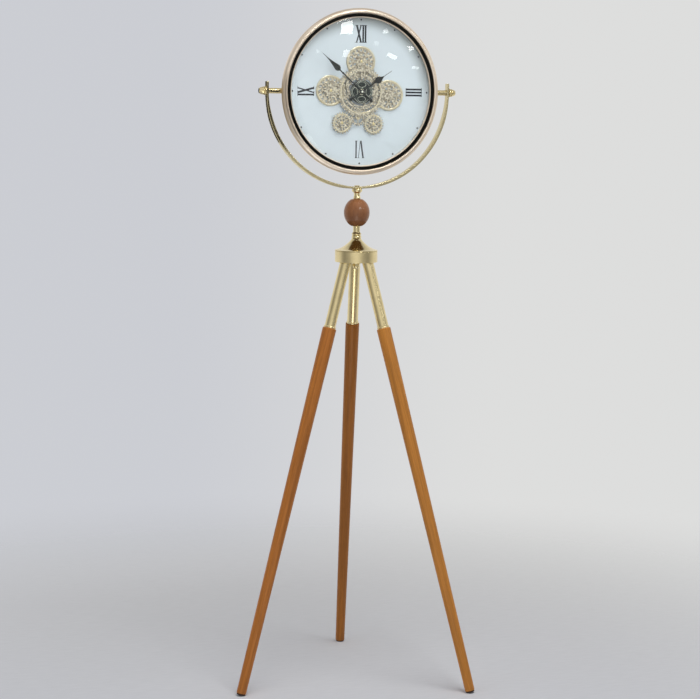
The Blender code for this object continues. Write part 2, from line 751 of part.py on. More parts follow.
def build_bolt(stand):
    nut_top = BOSS_BOTTOM - SEAT_GAP
    hex_bottom = nut_top - NUT_HEX_HEIGHT
    dome_bottom = hex_bottom - NUT_DOME_HEIGHT
    bore_top = nut_top - NUT_BORE_DEPTH
    head_bottom = YOKE_BOTTOM + YOKE_THICKNESS + BOLT_HEAD_RADIUS * YOKE_CHORD_SLOPE + SEAT_GAP
    head_top = head_bottom + BOLT_HEAD_HEIGHT
    shaft_bottom = bore_top + SEAT_GAP
    head_edge_share = 0.75
    turned(
        "tie_bolt",
        [
            (0, head_top),
            (BOLT_HEAD_RADIUS * head_edge_share, head_top - BOLT_HEAD_HEIGHT * (1 - head_edge_share)),
            (BOLT_HEAD_RADIUS, head_bottom + BOLT_HEAD_HEIGHT / 2),
            (BOLT_HEAD_RADIUS, head_bottom),
            (BOLT_RADIUS, head_bottom),
            (BOLT_RADIUS, shaft_bottom),
            (0, shaft_bottom),
        ],
        "brass",
        stand,
        SMALL_STEPS,
        closed=False,
    )
    flat = NUT_RADIUS * math.cos(math.pi / 6)
    profile = [(0, dome_bottom)]
    dome_steps = 3
    for step in range(1, dome_steps + 1):
        angle = math.pi / 2 * step / dome_steps
        profile.append((NUT_DOME_RADIUS * math.sin(angle), hex_bottom - NUT_DOME_HEIGHT * math.cos(angle)))
    profile += [(flat, hex_bottom), (NUT_RADIUS, hex_bottom + NUT_HEX_HEIGHT / 4)]
    profile += [(NUT_RADIUS, nut_top), (BOLT_BORE, nut_top), (BOLT_BORE, bore_top), (0, bore_top)]
    nut = turned("cap_nut", profile, "brass", stand, SMALL_STEPS, closed=False)
    hexagon = circle(NUT_RADIUS, 6)
    keep = plate_mesh("nut_hexagon", [hexagon], dome_bottom - OVERRUN, nut_top - dome_bottom + 2 * OVERRUN)
    combine(nut, keep, stand, "INTERSECT")


def build_leg(name, hinge):
    """One leg, drawn with its hinge pin on the frame's Y axis and the foot down its -Z axis."""
    plug_radius = TUBE_RADIUS - TUBE_WALL - SEAT_GAP
    knuckle = turned(
        name + "_knuckle",
        [
            (0, -FLANGE_START),
            (TUBE_RADIUS - SEAT_GAP, -FLANGE_START),
            (TUBE_RADIUS - SEAT_GAP, -FLANGE_START - KNUCKLE_FLANGE),
            (plug_radius, -FLANGE_START - KNUCKLE_FLANGE),
            (plug_radius, -FLANGE_START - KNUCKLE_FLANGE - PLUG_LENGTH),
            (0, -FLANGE_START - KNUCKLE_FLANGE - PLUG_LENGTH),
        ],
        "brass",
        hinge,
        closed=False,
    )
    outline = arc(EYE_RADIUS, 0, math.pi, SMALL_STEPS // 2)
    root = -FLANGE_START - KNUCKLE_FLANGE / 2
    outline += [(-EYE_RADIUS, root), (EYE_RADIUS, root)]
    tongue = plate_mesh("tongue", [outline], -TONGUE_THICKNESS / 2, TONGUE_THICKNESS)
    tongue.transform(Matrix.Rotation(math.pi / 2, 4, "X"))
    combine(knuckle, tongue, hinge, "UNION")
    half = TONGUE_THICKNESS / 2 + OVERRUN
    bore = bores_mesh("eye_bore", [(HINGE_PIN_RADIUS + RUN_GAP, (0, -half, 0), (0, half, 0))], PIN_STEPS)
    combine(knuckle, bore, hinge)

    tube_inner = TUBE_RADIUS - TUBE_WALL
    tube_bottom = TUBE_END + SOCKET_DEPTH
    bead_bottom = TUBE_END - SEAT_GAP
    turned(
        name + "_tube",
        [
            (tube_inner, -TUBE_START),
            (TUBE_RADIUS, -TUBE_START),
            (TUBE_RADIUS, -TUBE_END + BEAD_HEIGHT),
            (BEAD_RADIUS, -TUBE_END + BEAD_HEIGHT / 2),
            (BEAD_RADIUS, -bead_bottom - SEAT_GAP + BEAD_HEIGHT / 5),
            (TUBE_RADIUS + TUBE_WALL / 2, -bead_bottom),
            (TUBE_RADIUS, -bead_bottom),
            (TUBE_RADIUS, -tube_bottom),
            (tube_inner, -tube_bottom),
        ],
        "brass",
        hinge,
    )
    socket = TUBE_RADIUS + SEAT_GAP
    socket_end = tube_bottom + SEAT_GAP
    turned(
        name + "_wood",
        [
            (0, -socket_end),
            (socket, -socket_end),
            (socket, -TUBE_END - SEAT_GAP),
            (WOOD_TOP_RADIUS - WOOD_SHOULDER, -TUBE_END - SEAT_GAP),
            (WOOD_TOP_RADIUS, -TUBE_END - SEAT_GAP - WOOD_SHOULDER),
            (WOOD_FOOT_RADIUS, -WOOD_END),
            (0, -WOOD_END),
        ],
        "wood",
        hinge,
        closed=False,
    )
    pad = turned(
        name + "_pad",
        [
            (0, -WOOD_END - SEAT_GAP),
            (PAD_RADIUS, -WOOD_END - SEAT_GAP),
            (PAD_RADIUS, -PAD_END + PAD_EDGE),
            (PAD_RADIUS - PAD_EDGE, -PAD_END),
            (0, -PAD_END),
        ],
        "rubber",
        hinge,
        closed=False,
    )
    return pad


def build_legs(stand):
    for name, azimuth in LEG_AZIMUTHS.items():
        place = (PIN_OFFSET * math.sin(azimuth), PIN_OFFSET * math.cos(azimuth), PIN_HEIGHT)
        hinge = add_frame(name + "_hinge", stand, place, (0, -LEG_LEAN, math.pi / 2 - azimuth))
        pad = build_leg(name, hinge)
        side = 4 * PAD_RADIUS
        foot_run = PAD_END * math.sin(LEG_LEAN)
        reach = PIN_OFFSET + foot_run
        centre = (reach * math.sin(azimuth), reach * math.cos(azimuth), -side / 2)
        combine(pad, block_mesh("floor", (side, side, side), centre), stand)


# Yoke and pivots

def build_yoke(face):
    """A flat bar bent round the lower half of the case, drawn in the face's XY plane."""
    section = bpy.data.curves.new("yoke_section", "CURVE")
    section.dimensions = "2D"
    half_x = YOKE_THICKNESS / 2
    half_y = YOKE_DEPTH / 2
    corners = []
    for sign_x, sign_y, order in ((1, 1, 1), (-1, 1, -1), (-1, -1, 1), (1, -1, -1)):
        pair = [
            (sign_x * half_x, sign_y * (half_y - YOKE_EDGE)),
            (sign_x * (half_x - YOKE_EDGE), sign_y * half_y),
        ]
        corners += pair[::order]
    spline = section.splines.new("POLY")
    spline.points.add(len(corners) - 1)
    for point, (x, y) in zip(spline.points, corners):
        point.co = (x, y, 0, 1)
    spline.use_cyclic_u = True
    section_object = tool_object("yoke_section", section, face)

    path = bpy.data.curves.new("yoke_path", "CURVE")
    path.dimensions = "2D"
    path.bevel_mode = "OBJECT"
    path.bevel_object = section_object
    path.use_fill_caps = True
    route = [(-YOKE_RADIUS, YOKE_END_RISE)]
    route += arc(YOKE_RADIUS, math.pi, 2 * math.pi, YOKE_ARC_STEPS)
    route += [(YOKE_RADIUS, YOKE_END_RISE)]
    spline = path.splines.new("POLY")
    spline.points.add(len(route) - 1)
    for point, (x, y) in zip(spline.points, route):
        point.co = (x, y, 0, 1)
    bar = bpy.data.objects.new("yoke_bar", path)
    tools.objects.link(bar)
    mesh = bpy.data.meshes.new_from_object(bar.evaluated_get(bpy.context.evaluated_depsgraph_get()))
    bpy.data.objects.remove(bar)
    bpy.data.objects.remove(section_object)
    shape = bmesh.new()
    shape.from_mesh(mesh)
    bmesh.ops.remove_doubles(shape, verts=shape.verts, dist=WELD_DISTANCE)
    bmesh.ops.recalc_face_normals(shape, faces=shape.faces)
    shape.to_mesh(mesh)
    shape.free()
    mesh.materials.clear()
    smooth_round(mesh, 25)
    yoke = add_object("yoke", mesh, "brass", face)
    reach = YOKE_OUTER + OVERRUN
    bores = [
        (KNOB_STUD_RADIUS + RUN_GAP, (-reach, 0, 0), (reach, 0, 0)),
        (BOLT_BORE, (0, -reach, 0), (0, -YOKE_INNER + OVERRUN, 0)),
    ]
    combine(yoke, bores_mesh("yoke_bores", bores), face)


def build_pivots(face):
    post_start = SHELL_RADIUS + SEAT_GAP
    post_end = YOKE_INNER - POST_RADIUS * YOKE_CHORD_SLOPE - RUN_GAP
    stub_start = post_start - POST_STUB_LENGTH
    bore = KNOB_STUD_RADIUS + RUN_GAP
    stud_end = post_end - KNOB_STUD_SHARE * (post_end - post_start)
    bore_start = stud_end - SEAT_GAP
    knob_start = YOKE_OUTER + RUN_GAP
    knob_end = knob_start + KNOB_LENGTH
    nut_end = SHELL_REAR_INNER - POST_NUT_RADIUS * math.tan(math.pi / RIM_STEPS) - SEAT_GAP
    for side, sign in (("left", -1), ("right", 1)):
        axis = add_frame("pivot_" + side, face, (0, 0, 0), (0, sign * math.pi / 2, 0))
        turned(
            "pivot_post_" + side,
            [
                (0, stub_start),
                (POST_STUB_RADIUS, stub_start),
                (POST_STUB_RADIUS, post_start),
                (POST_COLLAR_RADIUS, post_start),
                (POST_COLLAR_RADIUS, post_start + POST_COLLAR_LENGTH),
                (POST_RADIUS, post_start + POST_COLLAR_LENGTH),
                (POST_RADIUS, post_end),
                (bore, post_end),
                (bore, bore_start),
                (0, bore_start),
            ],
            "brass",
            axis,
            SMALL_STEPS,
            closed=False,
        )
        waist = KNOB_RADIUS * 0.82
        turned(
            "knob_" + side,
            [
                (0, stud_end),
                (KNOB_STUD_RADIUS, stud_end),
                (KNOB_STUD_RADIUS, knob_start),
                (KNOB_RADIUS * 0.92, knob_start),
                (KNOB_RADIUS, knob_start + KNOB_COLLAR_LENGTH / 4),
                (KNOB_RADIUS, knob_start + KNOB_COLLAR_LENGTH),
                (waist, knob_start + KNOB_COLLAR_LENGTH * 1.3),
                (KNOB_RADIUS * 0.90, knob_start + KNOB_COLLAR_LENGTH * 2),
                (KNOB_END_RADIUS, knob_end - KNOB_COLLAR_LENGTH / 2),
                (KNOB_END_RADIUS * 0.7, knob_end - KNOB_COLLAR_LENGTH / 8),
                (0, knob_end),
            ],
            "brass",
            axis,
            ROUND_STEPS,
            closed=False,
        )
        turned_nut = rods_mesh(
            "pivot_nut_" + side, [(POST_NUT_RADIUS, (0, 0, nut_end - POST_NUT_THICKNESS), (0, 0, nut_end))], 6
        )
        nut = add_object("pivot_nut_" + side, turned_nut, "steel", axis)
        stub_bore = POST_STUB_RADIUS + SEAT_GAP
        bore_ends = (0, 0, stub_start - OVERRUN), (0, 0, post_start)
        combine(nut, bores_mesh("nut_bore", [(stub_bore, *bore_ends)]), axis)


# Case

RIM_START_SHARES = [(0.04, 0.60), (0.28, 1.00)]
RIM_BACK_SHARES = [(0.35, 1.00)]
RIM_ROLL_STEPS = 3


def build_bezel(face):
    """A pressed rim: a flat flange for the black ring, then a crown that rolls over to the back."""
    crown_start = BLACK_RING_OUTER + SEAT_GAP
    crown_width = RIM_RADIUS - crown_start
    outside = [(LIP_INNER, FLANGE_BACK), (LIP_INNER, FLANGE_FRONT), (crown_start, FLANGE_FRONT)]
    for out_share, up_share in RIM_START_SHARES:
        outside.append((crown_start + out_share * crown_width, FLANGE_FRONT + up_share * RIM_CROWN))
    crown_peak = outside[-1][0]
    for step in range(1, RIM_ROLL_STEPS + 1):
        angle = math.pi / 2 * (1 - step / RIM_ROLL_STEPS)
        outside.append((
            crown_peak + (RIM_RADIUS - crown_peak) * math.cos(angle),
            RIM_WIDEST + (RIM_FRONT - RIM_WIDEST) * math.sin(angle),
        ))
    for in_share, back_share in RIM_BACK_SHARES:
        outside.append((
            RIM_RADIUS - in_share * RIM_BACK_INSET,
            RIM_WIDEST - back_share * (RIM_WIDEST - RIM_BACK),
        ))
    inside = []
    centre = (crown_peak, RIM_WIDEST)
    for radius, front in outside[3:]:
        away = Vector((radius - centre[0], front - centre[1]))
        pulled = away * (1 - RIM_WALL / max(away.length, RIM_WALL * 2))
        inside.append((centre[0] + pulled.x, centre[1] + pulled.y))
    inside = [(crown_start - RIM_WALL, FLANGE_BACK)] + [
        point for point in inside if point[0] > crown_start
    ]
    turned("bezel", outside + inside[::-1], "champagne", face, RIM_STEPS)


def glass_line(reach, low, high):
    """From the middle to the seat of the domed glass: nearly flat, then down over a round shoulder."""
    line = [(0, high)]
    for share in GLASS_RING_SHARES:
        line.append((share * reach, high - (high - low) * share ** GLASS_DOME_POWER))
    return line + [(reach, low)]


def build_case(face):
    shoulder_back = SHOULDER_FRONT - SHELL_WALL
    corner_outer = []
    corner_inner = []
    corner_steps = 1
    for step in range(corner_steps + 1):
        angle = math.pi / 2 * step / corner_steps
        corner_outer.append((
            SHELL_RADIUS - SHELL_CORNER * (1 - math.cos(angle)),
            BACK_OUTSIDE + SHELL_CORNER * (1 - math.sin(angle)),
        ))
        inner_corner = SHELL_CORNER - SHELL_WALL
        corner_inner.append((
            SHELL_REAR_INNER - inner_corner * (1 - math.cos(angle)),
            BACK_INSIDE + inner_corner * (1 - math.sin(angle)),
        ))
    profile = [
        (SHELL_INNER, FLANGE_BACK - SEAT_GAP),
        (SHELL_FRONT_OUTER, FLANGE_BACK - SEAT_GAP),
        (SHELL_FRONT_OUTER, shoulder_back),
        (SHELL_RADIUS, shoulder_back),
    ]
    profile += corner_outer
    profile += [(BACK_OPENING_RADIUS, BACK_OUTSIDE), (BACK_OPENING_RADIUS, BACK_INSIDE)]
    profile += corner_inner[::-1]
    profile += [(SHELL_REAR_INNER, SHOULDER_FRONT), (SHELL_INNER, SHOULDER_FRONT)]
    shell = turned("case_shell", profile, "champagne", face, RIM_STEPS)
    stub_bore = POST_STUB_RADIUS + SEAT_GAP
    reach = SHELL_RADIUS + OVERRUN
    bores = [(stub_bore, (-reach, 0, 0), (-reach / 2, 0, 0)), (stub_bore, (reach / 2, 0, 0), (reach, 0, 0))]
    combine(shell, bores_mesh("shell_bores", bores, PIN_STEPS), face)

    turned(
        "black_ring",
        [
            (BLACK_RING_INNER, FLANGE_FRONT + SEAT_GAP),
            (BLACK_RING_OUTER, FLANGE_FRONT + SEAT_GAP),
            (BLACK_RING_OUTER - BLACK_RING_HEIGHT / 4, FLANGE_FRONT + BLACK_RING_HEIGHT),
            (BLACK_RING_INNER + BLACK_RING_HEIGHT / 2, FLANGE_FRONT + BLACK_RING_HEIGHT),
        ],
        "black_gloss",
        face,
        RIM_STEPS,
    )
    outside = glass_line(DIAL_RADIUS - GLASS_SEAT, GLASS_EDGE_FRONT, GLASS_FRONT)
    inside = glass_line(DIAL_RADIUS - GLASS_SEAT, GLASS_EDGE_BACK, GLASS_BACK)
    turned(
        "glass",
        outside + [(DIAL_RADIUS, GLASS_EDGE_FRONT), (DIAL_RADIUS, GLASS_EDGE_BACK)] + inside[::-1],
        "glass",
        face,
        RIM_STEPS,
        closed=False,
    )
    turned(
        "dial_spacer",
        ring_profile(
            DIAL_RADIUS - SPACER_WALL, DIAL_RADIUS, DIAL_FRONT + SEAT_GAP, GLASS_EDGE_BACK - SEAT_GAP
        ),
        "champagne",
        face,
        RIM_STEPS,
    )


def arbor_places():
    places = {side + "_wheel": SIDE_PLACES[side] for side in SIDE_PLACES}
    places["idler_wheel"] = IDLER_PLACE
    for name, (place, direction) in LOWER_PLACES.items():
        places[name + "_wheel"] = place
    return places


def build_dial(face):
    """The dial plate, with the studs of the loose wheels riveted into it."""
    arbor_hole = hole(STUD_RADIUS + SEAT_GAP, PIN_STEPS, SIDE_PLACES["right"])
    loops = [circle(DIAL_RADIUS, RIM_STEPS), hole(BUSH_RADIUS + SEAT_GAP, SMALL_STEPS), arbor_hole]
    dial = plate("dial", loops, DIAL_BACK, DIAL_THICKNESS, "dial", face)
    combine(dial, stud_mesh(), face, "UNION")


def build_back_cover(face):
    opening_radius = SETTING_KNOB_RADIUS + SETTING_HOLE_CLEARANCE
    opening = circle(opening_radius, SMALL_STEPS, (0, -SETTING_KNOB_DROP))
    loops = [circle(COVER_RADIUS, 2 * SMALL_STEPS), opening]
    plate("back_cover", loops, COVER_BACK, COVER_THICKNESS, "plastic", face)


def add_stack(shape, place, stations, steps):
    """Join circles of the given (radius, height) stations into one closed turned body."""
    rings = []
    for radius, height in stations:
        ring = [shape.verts.new((x, y, height)) for x, y in circle(radius, steps, place)]
        rings.append(ring)
    for lower, upper in zip(rings, rings[1:]):
        for index in range(steps):
            following = (index + 1) % steps
            shape.faces.new((lower[index], lower[following], upper[following], upper[index]))
    shape.faces.new(rings[0][::-1])
    shape.faces.new(rings[-1])


# Wheel train

def stud_mesh():
    """Fixed studs for the loose wheels: a flange behind the dial, a shaft and a retaining head.

    The idler's stud has no head, because the centre wheel reaches over the idler and keeps it on.
    """
    shape = bmesh.new()
    for name, place in arbor_places().items():
        if name == "right_wheel":
            continue
        top_layer = 2 if name in ("top_wheel", "left_wheel") else 1
        stations = [
            (STUD_FLANGE_RADIUS, DIAL_BACK - STUD_FLANGE_THICKNESS),
            (STUD_FLANGE_RADIUS, DIAL_BACK + DIAL_THICKNESS / 2),
            (STUD_RADIUS, DIAL_BACK + DIAL_THICKNESS / 2),
        ]
        if name == "idler_wheel":
            stations.append((STUD_RADIUS, layer_front(top_layer)))
        else:
            stations += stud_head(layer_front(top_layer) + RUN_GAP)
        add_stack(shape, place, stations, PIN_STEPS)
    mesh = bpy.data.meshes.new("wheel_studs")
    shape.to_mesh(mesh)
    shape.free()
    return mesh


def stud_head(low):
    return [
        (STUD_RADIUS, low),
        (STUD_HEAD_RADIUS, low),
        (STUD_HEAD_RADIUS, low + STUD_HEAD_HEIGHT / 2),
        (STUD_HEAD_RADIUS / 2, low + STUD_HEAD_HEIGHT),
    ]


def wheel(name, place, face, outline, bore, openings, low, thickness, finish="wheel_gold"):
    frame = add_frame(name + "_axis", face, (place[0], place[1], 0))
    loops = [outline, hole(bore, PIN_STEPS)] + openings
    return plate(name, loops, low, thickness, finish, frame)


def build_centre(face):
    bore = BUSH_RADIUS + RUN_GAP
    phase = 0
    front_openings = wheel_windows(CENTRE_PITCH, CENTRE_RIM_SHARES, 9)
    front_openings += wheel_windows(CENTRE_PITCH, CENTRE_HUB_SHARES, 5)
    outline = tooth_outline(CENTRE_TEETH, TOOTH_MODULE, phase)
    wheel("centre_wheel", (0, 0), face, outline, bore, front_openings, layer_back(2), WHEEL_THICKNESS)
    rear_openings = wheel_windows(REAR_PITCH, REAR_SHARES, 4, phase=0.3, steps=1)
    outline = tooth_outline(REAR_TEETH, TOOTH_MODULE, phase)
    rear_thickness = layer_back(2) - layer_back(1) - SEAT_GAP
    wheel("centre_rear_wheel", (0, 0), face, outline, bore, rear_openings, layer_back(1), rear_thickness)


def build_side_wheels(face):
    pinion_back = layer_front(0) + SEAT_GAP
    pinion_length = layer_front(2) - pinion_back
    for side, place in SIDE_PLACES.items():
        teeth = SIDE_PINION_TEETH[side]
        phase = meshed_phase(CENTRE_TEETH, 0, teeth, SIDE_ANGLES[side])
        bore = STUD_RADIUS + RUN_GAP
        outline = tooth_outline(teeth, TOOTH_MODULE, phase)
        pinion = wheel(side + "_pinion", place, face, outline, bore, [], pinion_back, pinion_length)
        if side == "right":
            fit_drive_arbor(pinion, pinion_back, pinion_length)
        outline = serrated_outline(SIDE_WHEEL_TEETH, SIDE_WHEEL_RADIUS, SIDE_TOOTH_DEPTH)
        openings = wheel_windows(SIDE_WHEEL_RADIUS, SIDE_RIM_SHARES, 8)
        openings += wheel_windows(SIDE_WHEEL_RADIUS, SIDE_HUB_SHARES, 5)
        wheel(side + "_wheel", place, face, outline, bore, openings, layer_back(0), WHEEL_THICKNESS)


def fit_drive_arbor(pinion, low, length):
    """Fill the right pinion's bore with the arbor that comes through the dial from the motor."""
    core_radius = (STUD_RADIUS + STUD_HEAD_RADIUS) / 2
    stations = [
        (STUD_RADIUS, WORKS_FRONT - SEAT_GAP - ARBOR_DEPTH),
        (STUD_RADIUS, low + length / 8),
        (core_radius, low + length / 8),
        (core_radius, low + length + STUD_HEAD_HEIGHT / 2),
        (STUD_RADIUS, low + length + STUD_HEAD_HEIGHT),
    ]
    shape = bmesh.new()
    add_stack(shape, (0, 0), stations, PIN_STEPS)
    mesh = bpy.data.meshes.new("drive_arbor")
    shape.to_mesh(mesh)
    shape.free()
    combine(pinion, mesh, pinion.parent, "UNION")


def build_lower_wheels(face):
    bore = STUD_RADIUS + RUN_GAP
    low = layer_back(1)
    idler_phase = meshed_phase(REAR_TEETH, 0, IDLER_TEETH, IDLER_ANGLE)
    outline = tooth_outline(IDLER_TEETH, TOOTH_MODULE, idler_phase)
    openings = wheel_windows(IDLER_PITCH, IDLER_SHARES, 4, steps=4)
    wheel("idler_wheel", IDLER_PLACE, face, outline, bore, openings, low, WHEEL_THICKNESS)
    for name, (place, direction) in LOWER_PLACES.items():
        phase = meshed_phase(IDLER_TEETH, idler_phase, LOWER_TEETH, direction)
        outline = tooth_outline(LOWER_TEETH, TOOTH_MODULE, phase)
        openings = wheel_windows(LOWER_PITCH, LOWER_SHARES, 5)
        wheel(name + "_wheel", place, face, outline, bore, openings, low, WHEEL_THICKNESS)


def bridge_windows(hub, inner, offset, arms, arm_width, steps):
    """Openings between a hub on the axis and a ring whose centre is offset upward."""

    def reach(angle):
        sideways = offset * math.cos(angle)
        return offset * math.sin(angle) + math.sqrt(inner ** 2 - sideways ** 2)

    loops = []
    for start, end in zip(arms, arms[1:] + [arms[0] + 2 * math.pi]):
        first = start + math.asin(arm_width / 2 / reach(start))
        last = end - math.asin(arm_width / 2 / reach(end))
        outside = []
        for step in range(steps + 1):
            angle = first + (last - first) * step / steps
            outside.append((reach(angle) * math.cos(angle), reach(angle) * math.sin(angle)))
        half = math.asin(arm_width / 2 / hub)
        loops.append(outside + arc(hub, end - half, start + half, max(2, steps // 2)))
    return loops


def build_centre_stack(face):
    """The fixed bush in front of the movement, with the eccentric bridge and the mirror disc on it."""
    turned(
        "hand_bush",
        [
            (BUSH_BORE, BUSH_FRONT),
            (BUSH_RADIUS, BUSH_FRONT),
            (BUSH_RADIUS, layer_back(1) - RUN_GAP),
            (BUSH_SHOULDER_RADIUS, layer_back(1) - RUN_GAP),
            (BUSH_SHOULDER_RADIUS, DIAL_FRONT + SEAT_GAP),
            (BUSH_RADIUS, DIAL_FRONT + SEAT_GAP),
            (BUSH_RADIUS, WORKS_FRONT),
            (BUSH_BORE, WORKS_FRONT),
        ],
        "brass",
        face,
        SMALL_STEPS,
    )
    bore = BUSH_RADIUS + SEAT_GAP
    bore_loop = hole(bore, SMALL_STEPS)
    arms = [math.radians(angle) for angle in (90, 180, 270, 360)]
    loops = [circle(BRIDGE_RADIUS, 2 * SMALL_STEPS, (0, BRIDGE_OFFSET)), bore_loop]
    loops += bridge_windows(
        BUSH_RADIUS + BRIDGE_ARM_WIDTH, BRIDGE_RADIUS - BRIDGE_WIDTH, BRIDGE_OFFSET, arms, BRIDGE_ARM_WIDTH, 6
    )
    plate("gear_bridge", loops, BRIDGE_BACK, BRIDGE_THICKNESS, "wheel_gold", face)
    disc = ring_profile(bore / math.cos(math.pi / SMALL_STEPS), DISC_RADIUS, DISC_BACK, DISC_BACK + DISC_THICKNESS)
    turned("centre_disc", disc, "mirror", face, 2 * SMALL_STEPS)
    loops = [circle(CROSS_RADIUS, 2 * SMALL_STEPS), bore_loop]
    loops += windows(CROSS_HUB_RADIUS, CROSS_RADIUS - CROSS_RIM_WIDTH, 4, CROSS_ARM_WIDTH, 0, 6)
    plate("centre_cross", loops, CROSS_BACK, CROSS_THICKNESS, "silver", face)


# Hands

def hand_outline(length, spade, spade_width, tail, tail_ball, bulge=0):
    """Half of a spade hand drawn up its right side, from the tail ball to the tip, then mirrored."""
    shaft = HAND_SHAFT_WIDTH / 2
    tip = HAND_TIP_WIDTH / 2
    entry = math.asin(shaft / tail_ball)
    side = arc(tail_ball, -math.pi / 2, math.pi / 2 - entry, 7, (0, -tail))
    hub_entry = math.asin(shaft / HAND_HUB_RADIUS)
    side += arc(HAND_HUB_RADIUS, -math.pi / 2 + hub_entry, math.pi / 2 - hub_entry, 8)
    if bulge:
        side += [
            (shaft, bulge - 2 * shaft),
            (2 * shaft, bulge),
            (shaft, bulge + 2 * shaft),
        ]
    for width_share, along_share in (
        (0.10, -0.72), (0.30, -0.56), (0.47, -0.30), (0.50, -0.06), (0.42, 0.20), (0.25, 0.46), (0.10, 0.72),
    ):
        side.append((spade_width * width_share, spade + spade_width * along_share))
    side.append((tip, spade + spade_width))
    side.append((tip, length - tip))
    mirrored = [(-x, y) for x, y in side[::-1] if x > WELD_DISTANCE]
    return side + [(0, length)] + mirrored


def build_hands(face):
    hour_axis = add_frame("hour_axis", face, (0, 0, 0), (0, 0, -HOUR_ANGLE))
    minute_axis = add_frame("minute_axis", face, (0, 0, 0), (0, 0, -MINUTE_ANGLE))
    inner_end = WORKS_FRONT - SEAT_GAP - ARBOR_DEPTH
    outline = hand_outline(HOUR_LENGTH, HOUR_SPADE, HOUR_SPADE_WIDTH, HOUR_TAIL, HOUR_TAIL_BALL)
    hour = plate("hour_hand", [outline], HOUR_BACK, HAND_THICKNESS, "hand_black", hour_axis)
    pipe_end = inner_end + ARBOR_DEPTH / 2
    pipe_top = HOUR_BACK + HAND_THICKNESS / 2
    pipe = rods_mesh("hour_pipe", [(HOUR_PIPE_RADIUS, (0, 0, pipe_end), (0, 0, pipe_top))])
    combine(hour, pipe, hour_axis, "UNION")
    bore = MINUTE_ARBOR_RADIUS + RUN_GAP
    bore_ends = [(bore, (0, 0, pipe_end - OVERRUN), (0, 0, MINUTE_BACK))]
    combine(hour, bores_mesh("hour_bore", bore_ends, PIN_STEPS), hour_axis)
    outline = hand_outline(
        MINUTE_LENGTH, MINUTE_SPADE, MINUTE_SPADE_WIDTH, MINUTE_TAIL, MINUTE_TAIL_BALL, MINUTE_SPADE * 0.76
    )
    minute = plate("minute_hand", [outline], MINUTE_BACK, HAND_THICKNESS, "hand_black", minute_axis)
    arbor_end = HAND_NUT_BACK + HAND_NUT_HEIGHT / 2
    arbor = rods_mesh("arbor", [(MINUTE_ARBOR_RADIUS, (0, 0, inner_end), (0, 0, arbor_end))], PIN_STEPS)
    combine(minute, arbor, minute_axis, "UNION")
    nut_top = HAND_NUT_BACK + HAND_NUT_HEIGHT
    turned(
        "hand_nut",
        [
            (0, nut_top),
            (HAND_NUT_RADIUS / 2, nut_top),
            (HAND_NUT_RADIUS, nut_top - HAND_NUT_HEIGHT / 3),
            (HAND_NUT_RADIUS, HAND_NUT_BACK),
            (bore, HAND_NUT_BACK),
            (bore, arbor_end + SEAT_GAP),
            (0, arbor_end + SEAT_GAP),
        ],
        "brass",
        minute_axis,
        SMALL_STEPS,
        closed=False,
    )


# Works behind the dial

def build_works(face):
    front = WORKS_FRONT - SEAT_GAP
    movement_back = front - MOVEMENT_DEPTH
    movement = add_object(
        "movement",
        block_mesh(
            "movement",
            (MOVEMENT_SIDE, MOVEMENT_SIDE, MOVEMENT_DEPTH),
            (0, -MOVEMENT_DROP, front - MOVEMENT_DEPTH / 2),
        ),
        "plastic",
        face,
    )
    bevel(movement, MOVEMENT_EDGE, 1)
    shaft_bore = SETTING_SHAFT_RADIUS + RUN_GAP
    bores = [
        (BUSH_BORE, (0, 0, front - ARBOR_DEPTH - RUN_GAP), (0, 0, front + OVERRUN)),
        (
            shaft_bore,
            (0, -SETTING_KNOB_DROP, movement_back - OVERRUN),
            (0, -SETTING_KNOB_DROP, movement_back + SETTING_SHAFT_LENGTH + RUN_GAP),
        ),
    ]
    combine(movement, bores_mesh("movement_bores", bores), face)

    knob_axis = add_frame("setting_axis", face, (0, -SETTING_KNOB_DROP, 0))
    knob_front = movement_back - RUN_GAP
    knob_back = knob_front - SETTING_KNOB_LENGTH
    grip_front = knob_front - SETTING_KNOB_LENGTH / 2
    turned(
        "setting_knob",
        [
            (0, knob_front + SETTING_SHAFT_LENGTH),
            (SETTING_SHAFT_RADIUS, knob_front + SETTING_SHAFT_LENGTH),
            (SETTING_SHAFT_RADIUS, knob_front),
            (SETTING_KNOB_RADIUS / 2, knob_front),
            (SETTING_KNOB_RADIUS / 2, grip_front),
            (SETTING_KNOB_RADIUS, grip_front),
            (SETTING_KNOB_RADIUS, knob_back + SETTING_SHAFT_RADIUS / 2),
            (SETTING_KNOB_RADIUS - SETTING_SHAFT_RADIUS / 2, knob_back),
            (0, knob_back),
        ],
        "plastic",
        knob_axis,
        SMALL_STEPS,
        closed=False,
    )

    place = SIDE_PLACES["right"]
    motor_centre = (place.x + MOTOR_SIDE_STEP, place.y, front - MOTOR_DEPTH / 2)
    motor_mesh = block_mesh("gear_motor", (MOTOR_WIDTH, MOTOR_HEIGHT, MOTOR_DEPTH), motor_centre)
    motor = add_object("gear_motor", motor_mesh, "steel", face)
    bevel(motor, MOVEMENT_EDGE, 1)
    arbor_bore = [(
        STUD_RADIUS + RUN_GAP,
        (place.x, place.y, front - ARBOR_DEPTH - RUN_GAP),
        (place.x, place.y, front + OVERRUN),
    )]
    combine(motor, bores_mesh("motor_bore", arbor_bore, PIN_STEPS), face)
    build_cell(face, front)


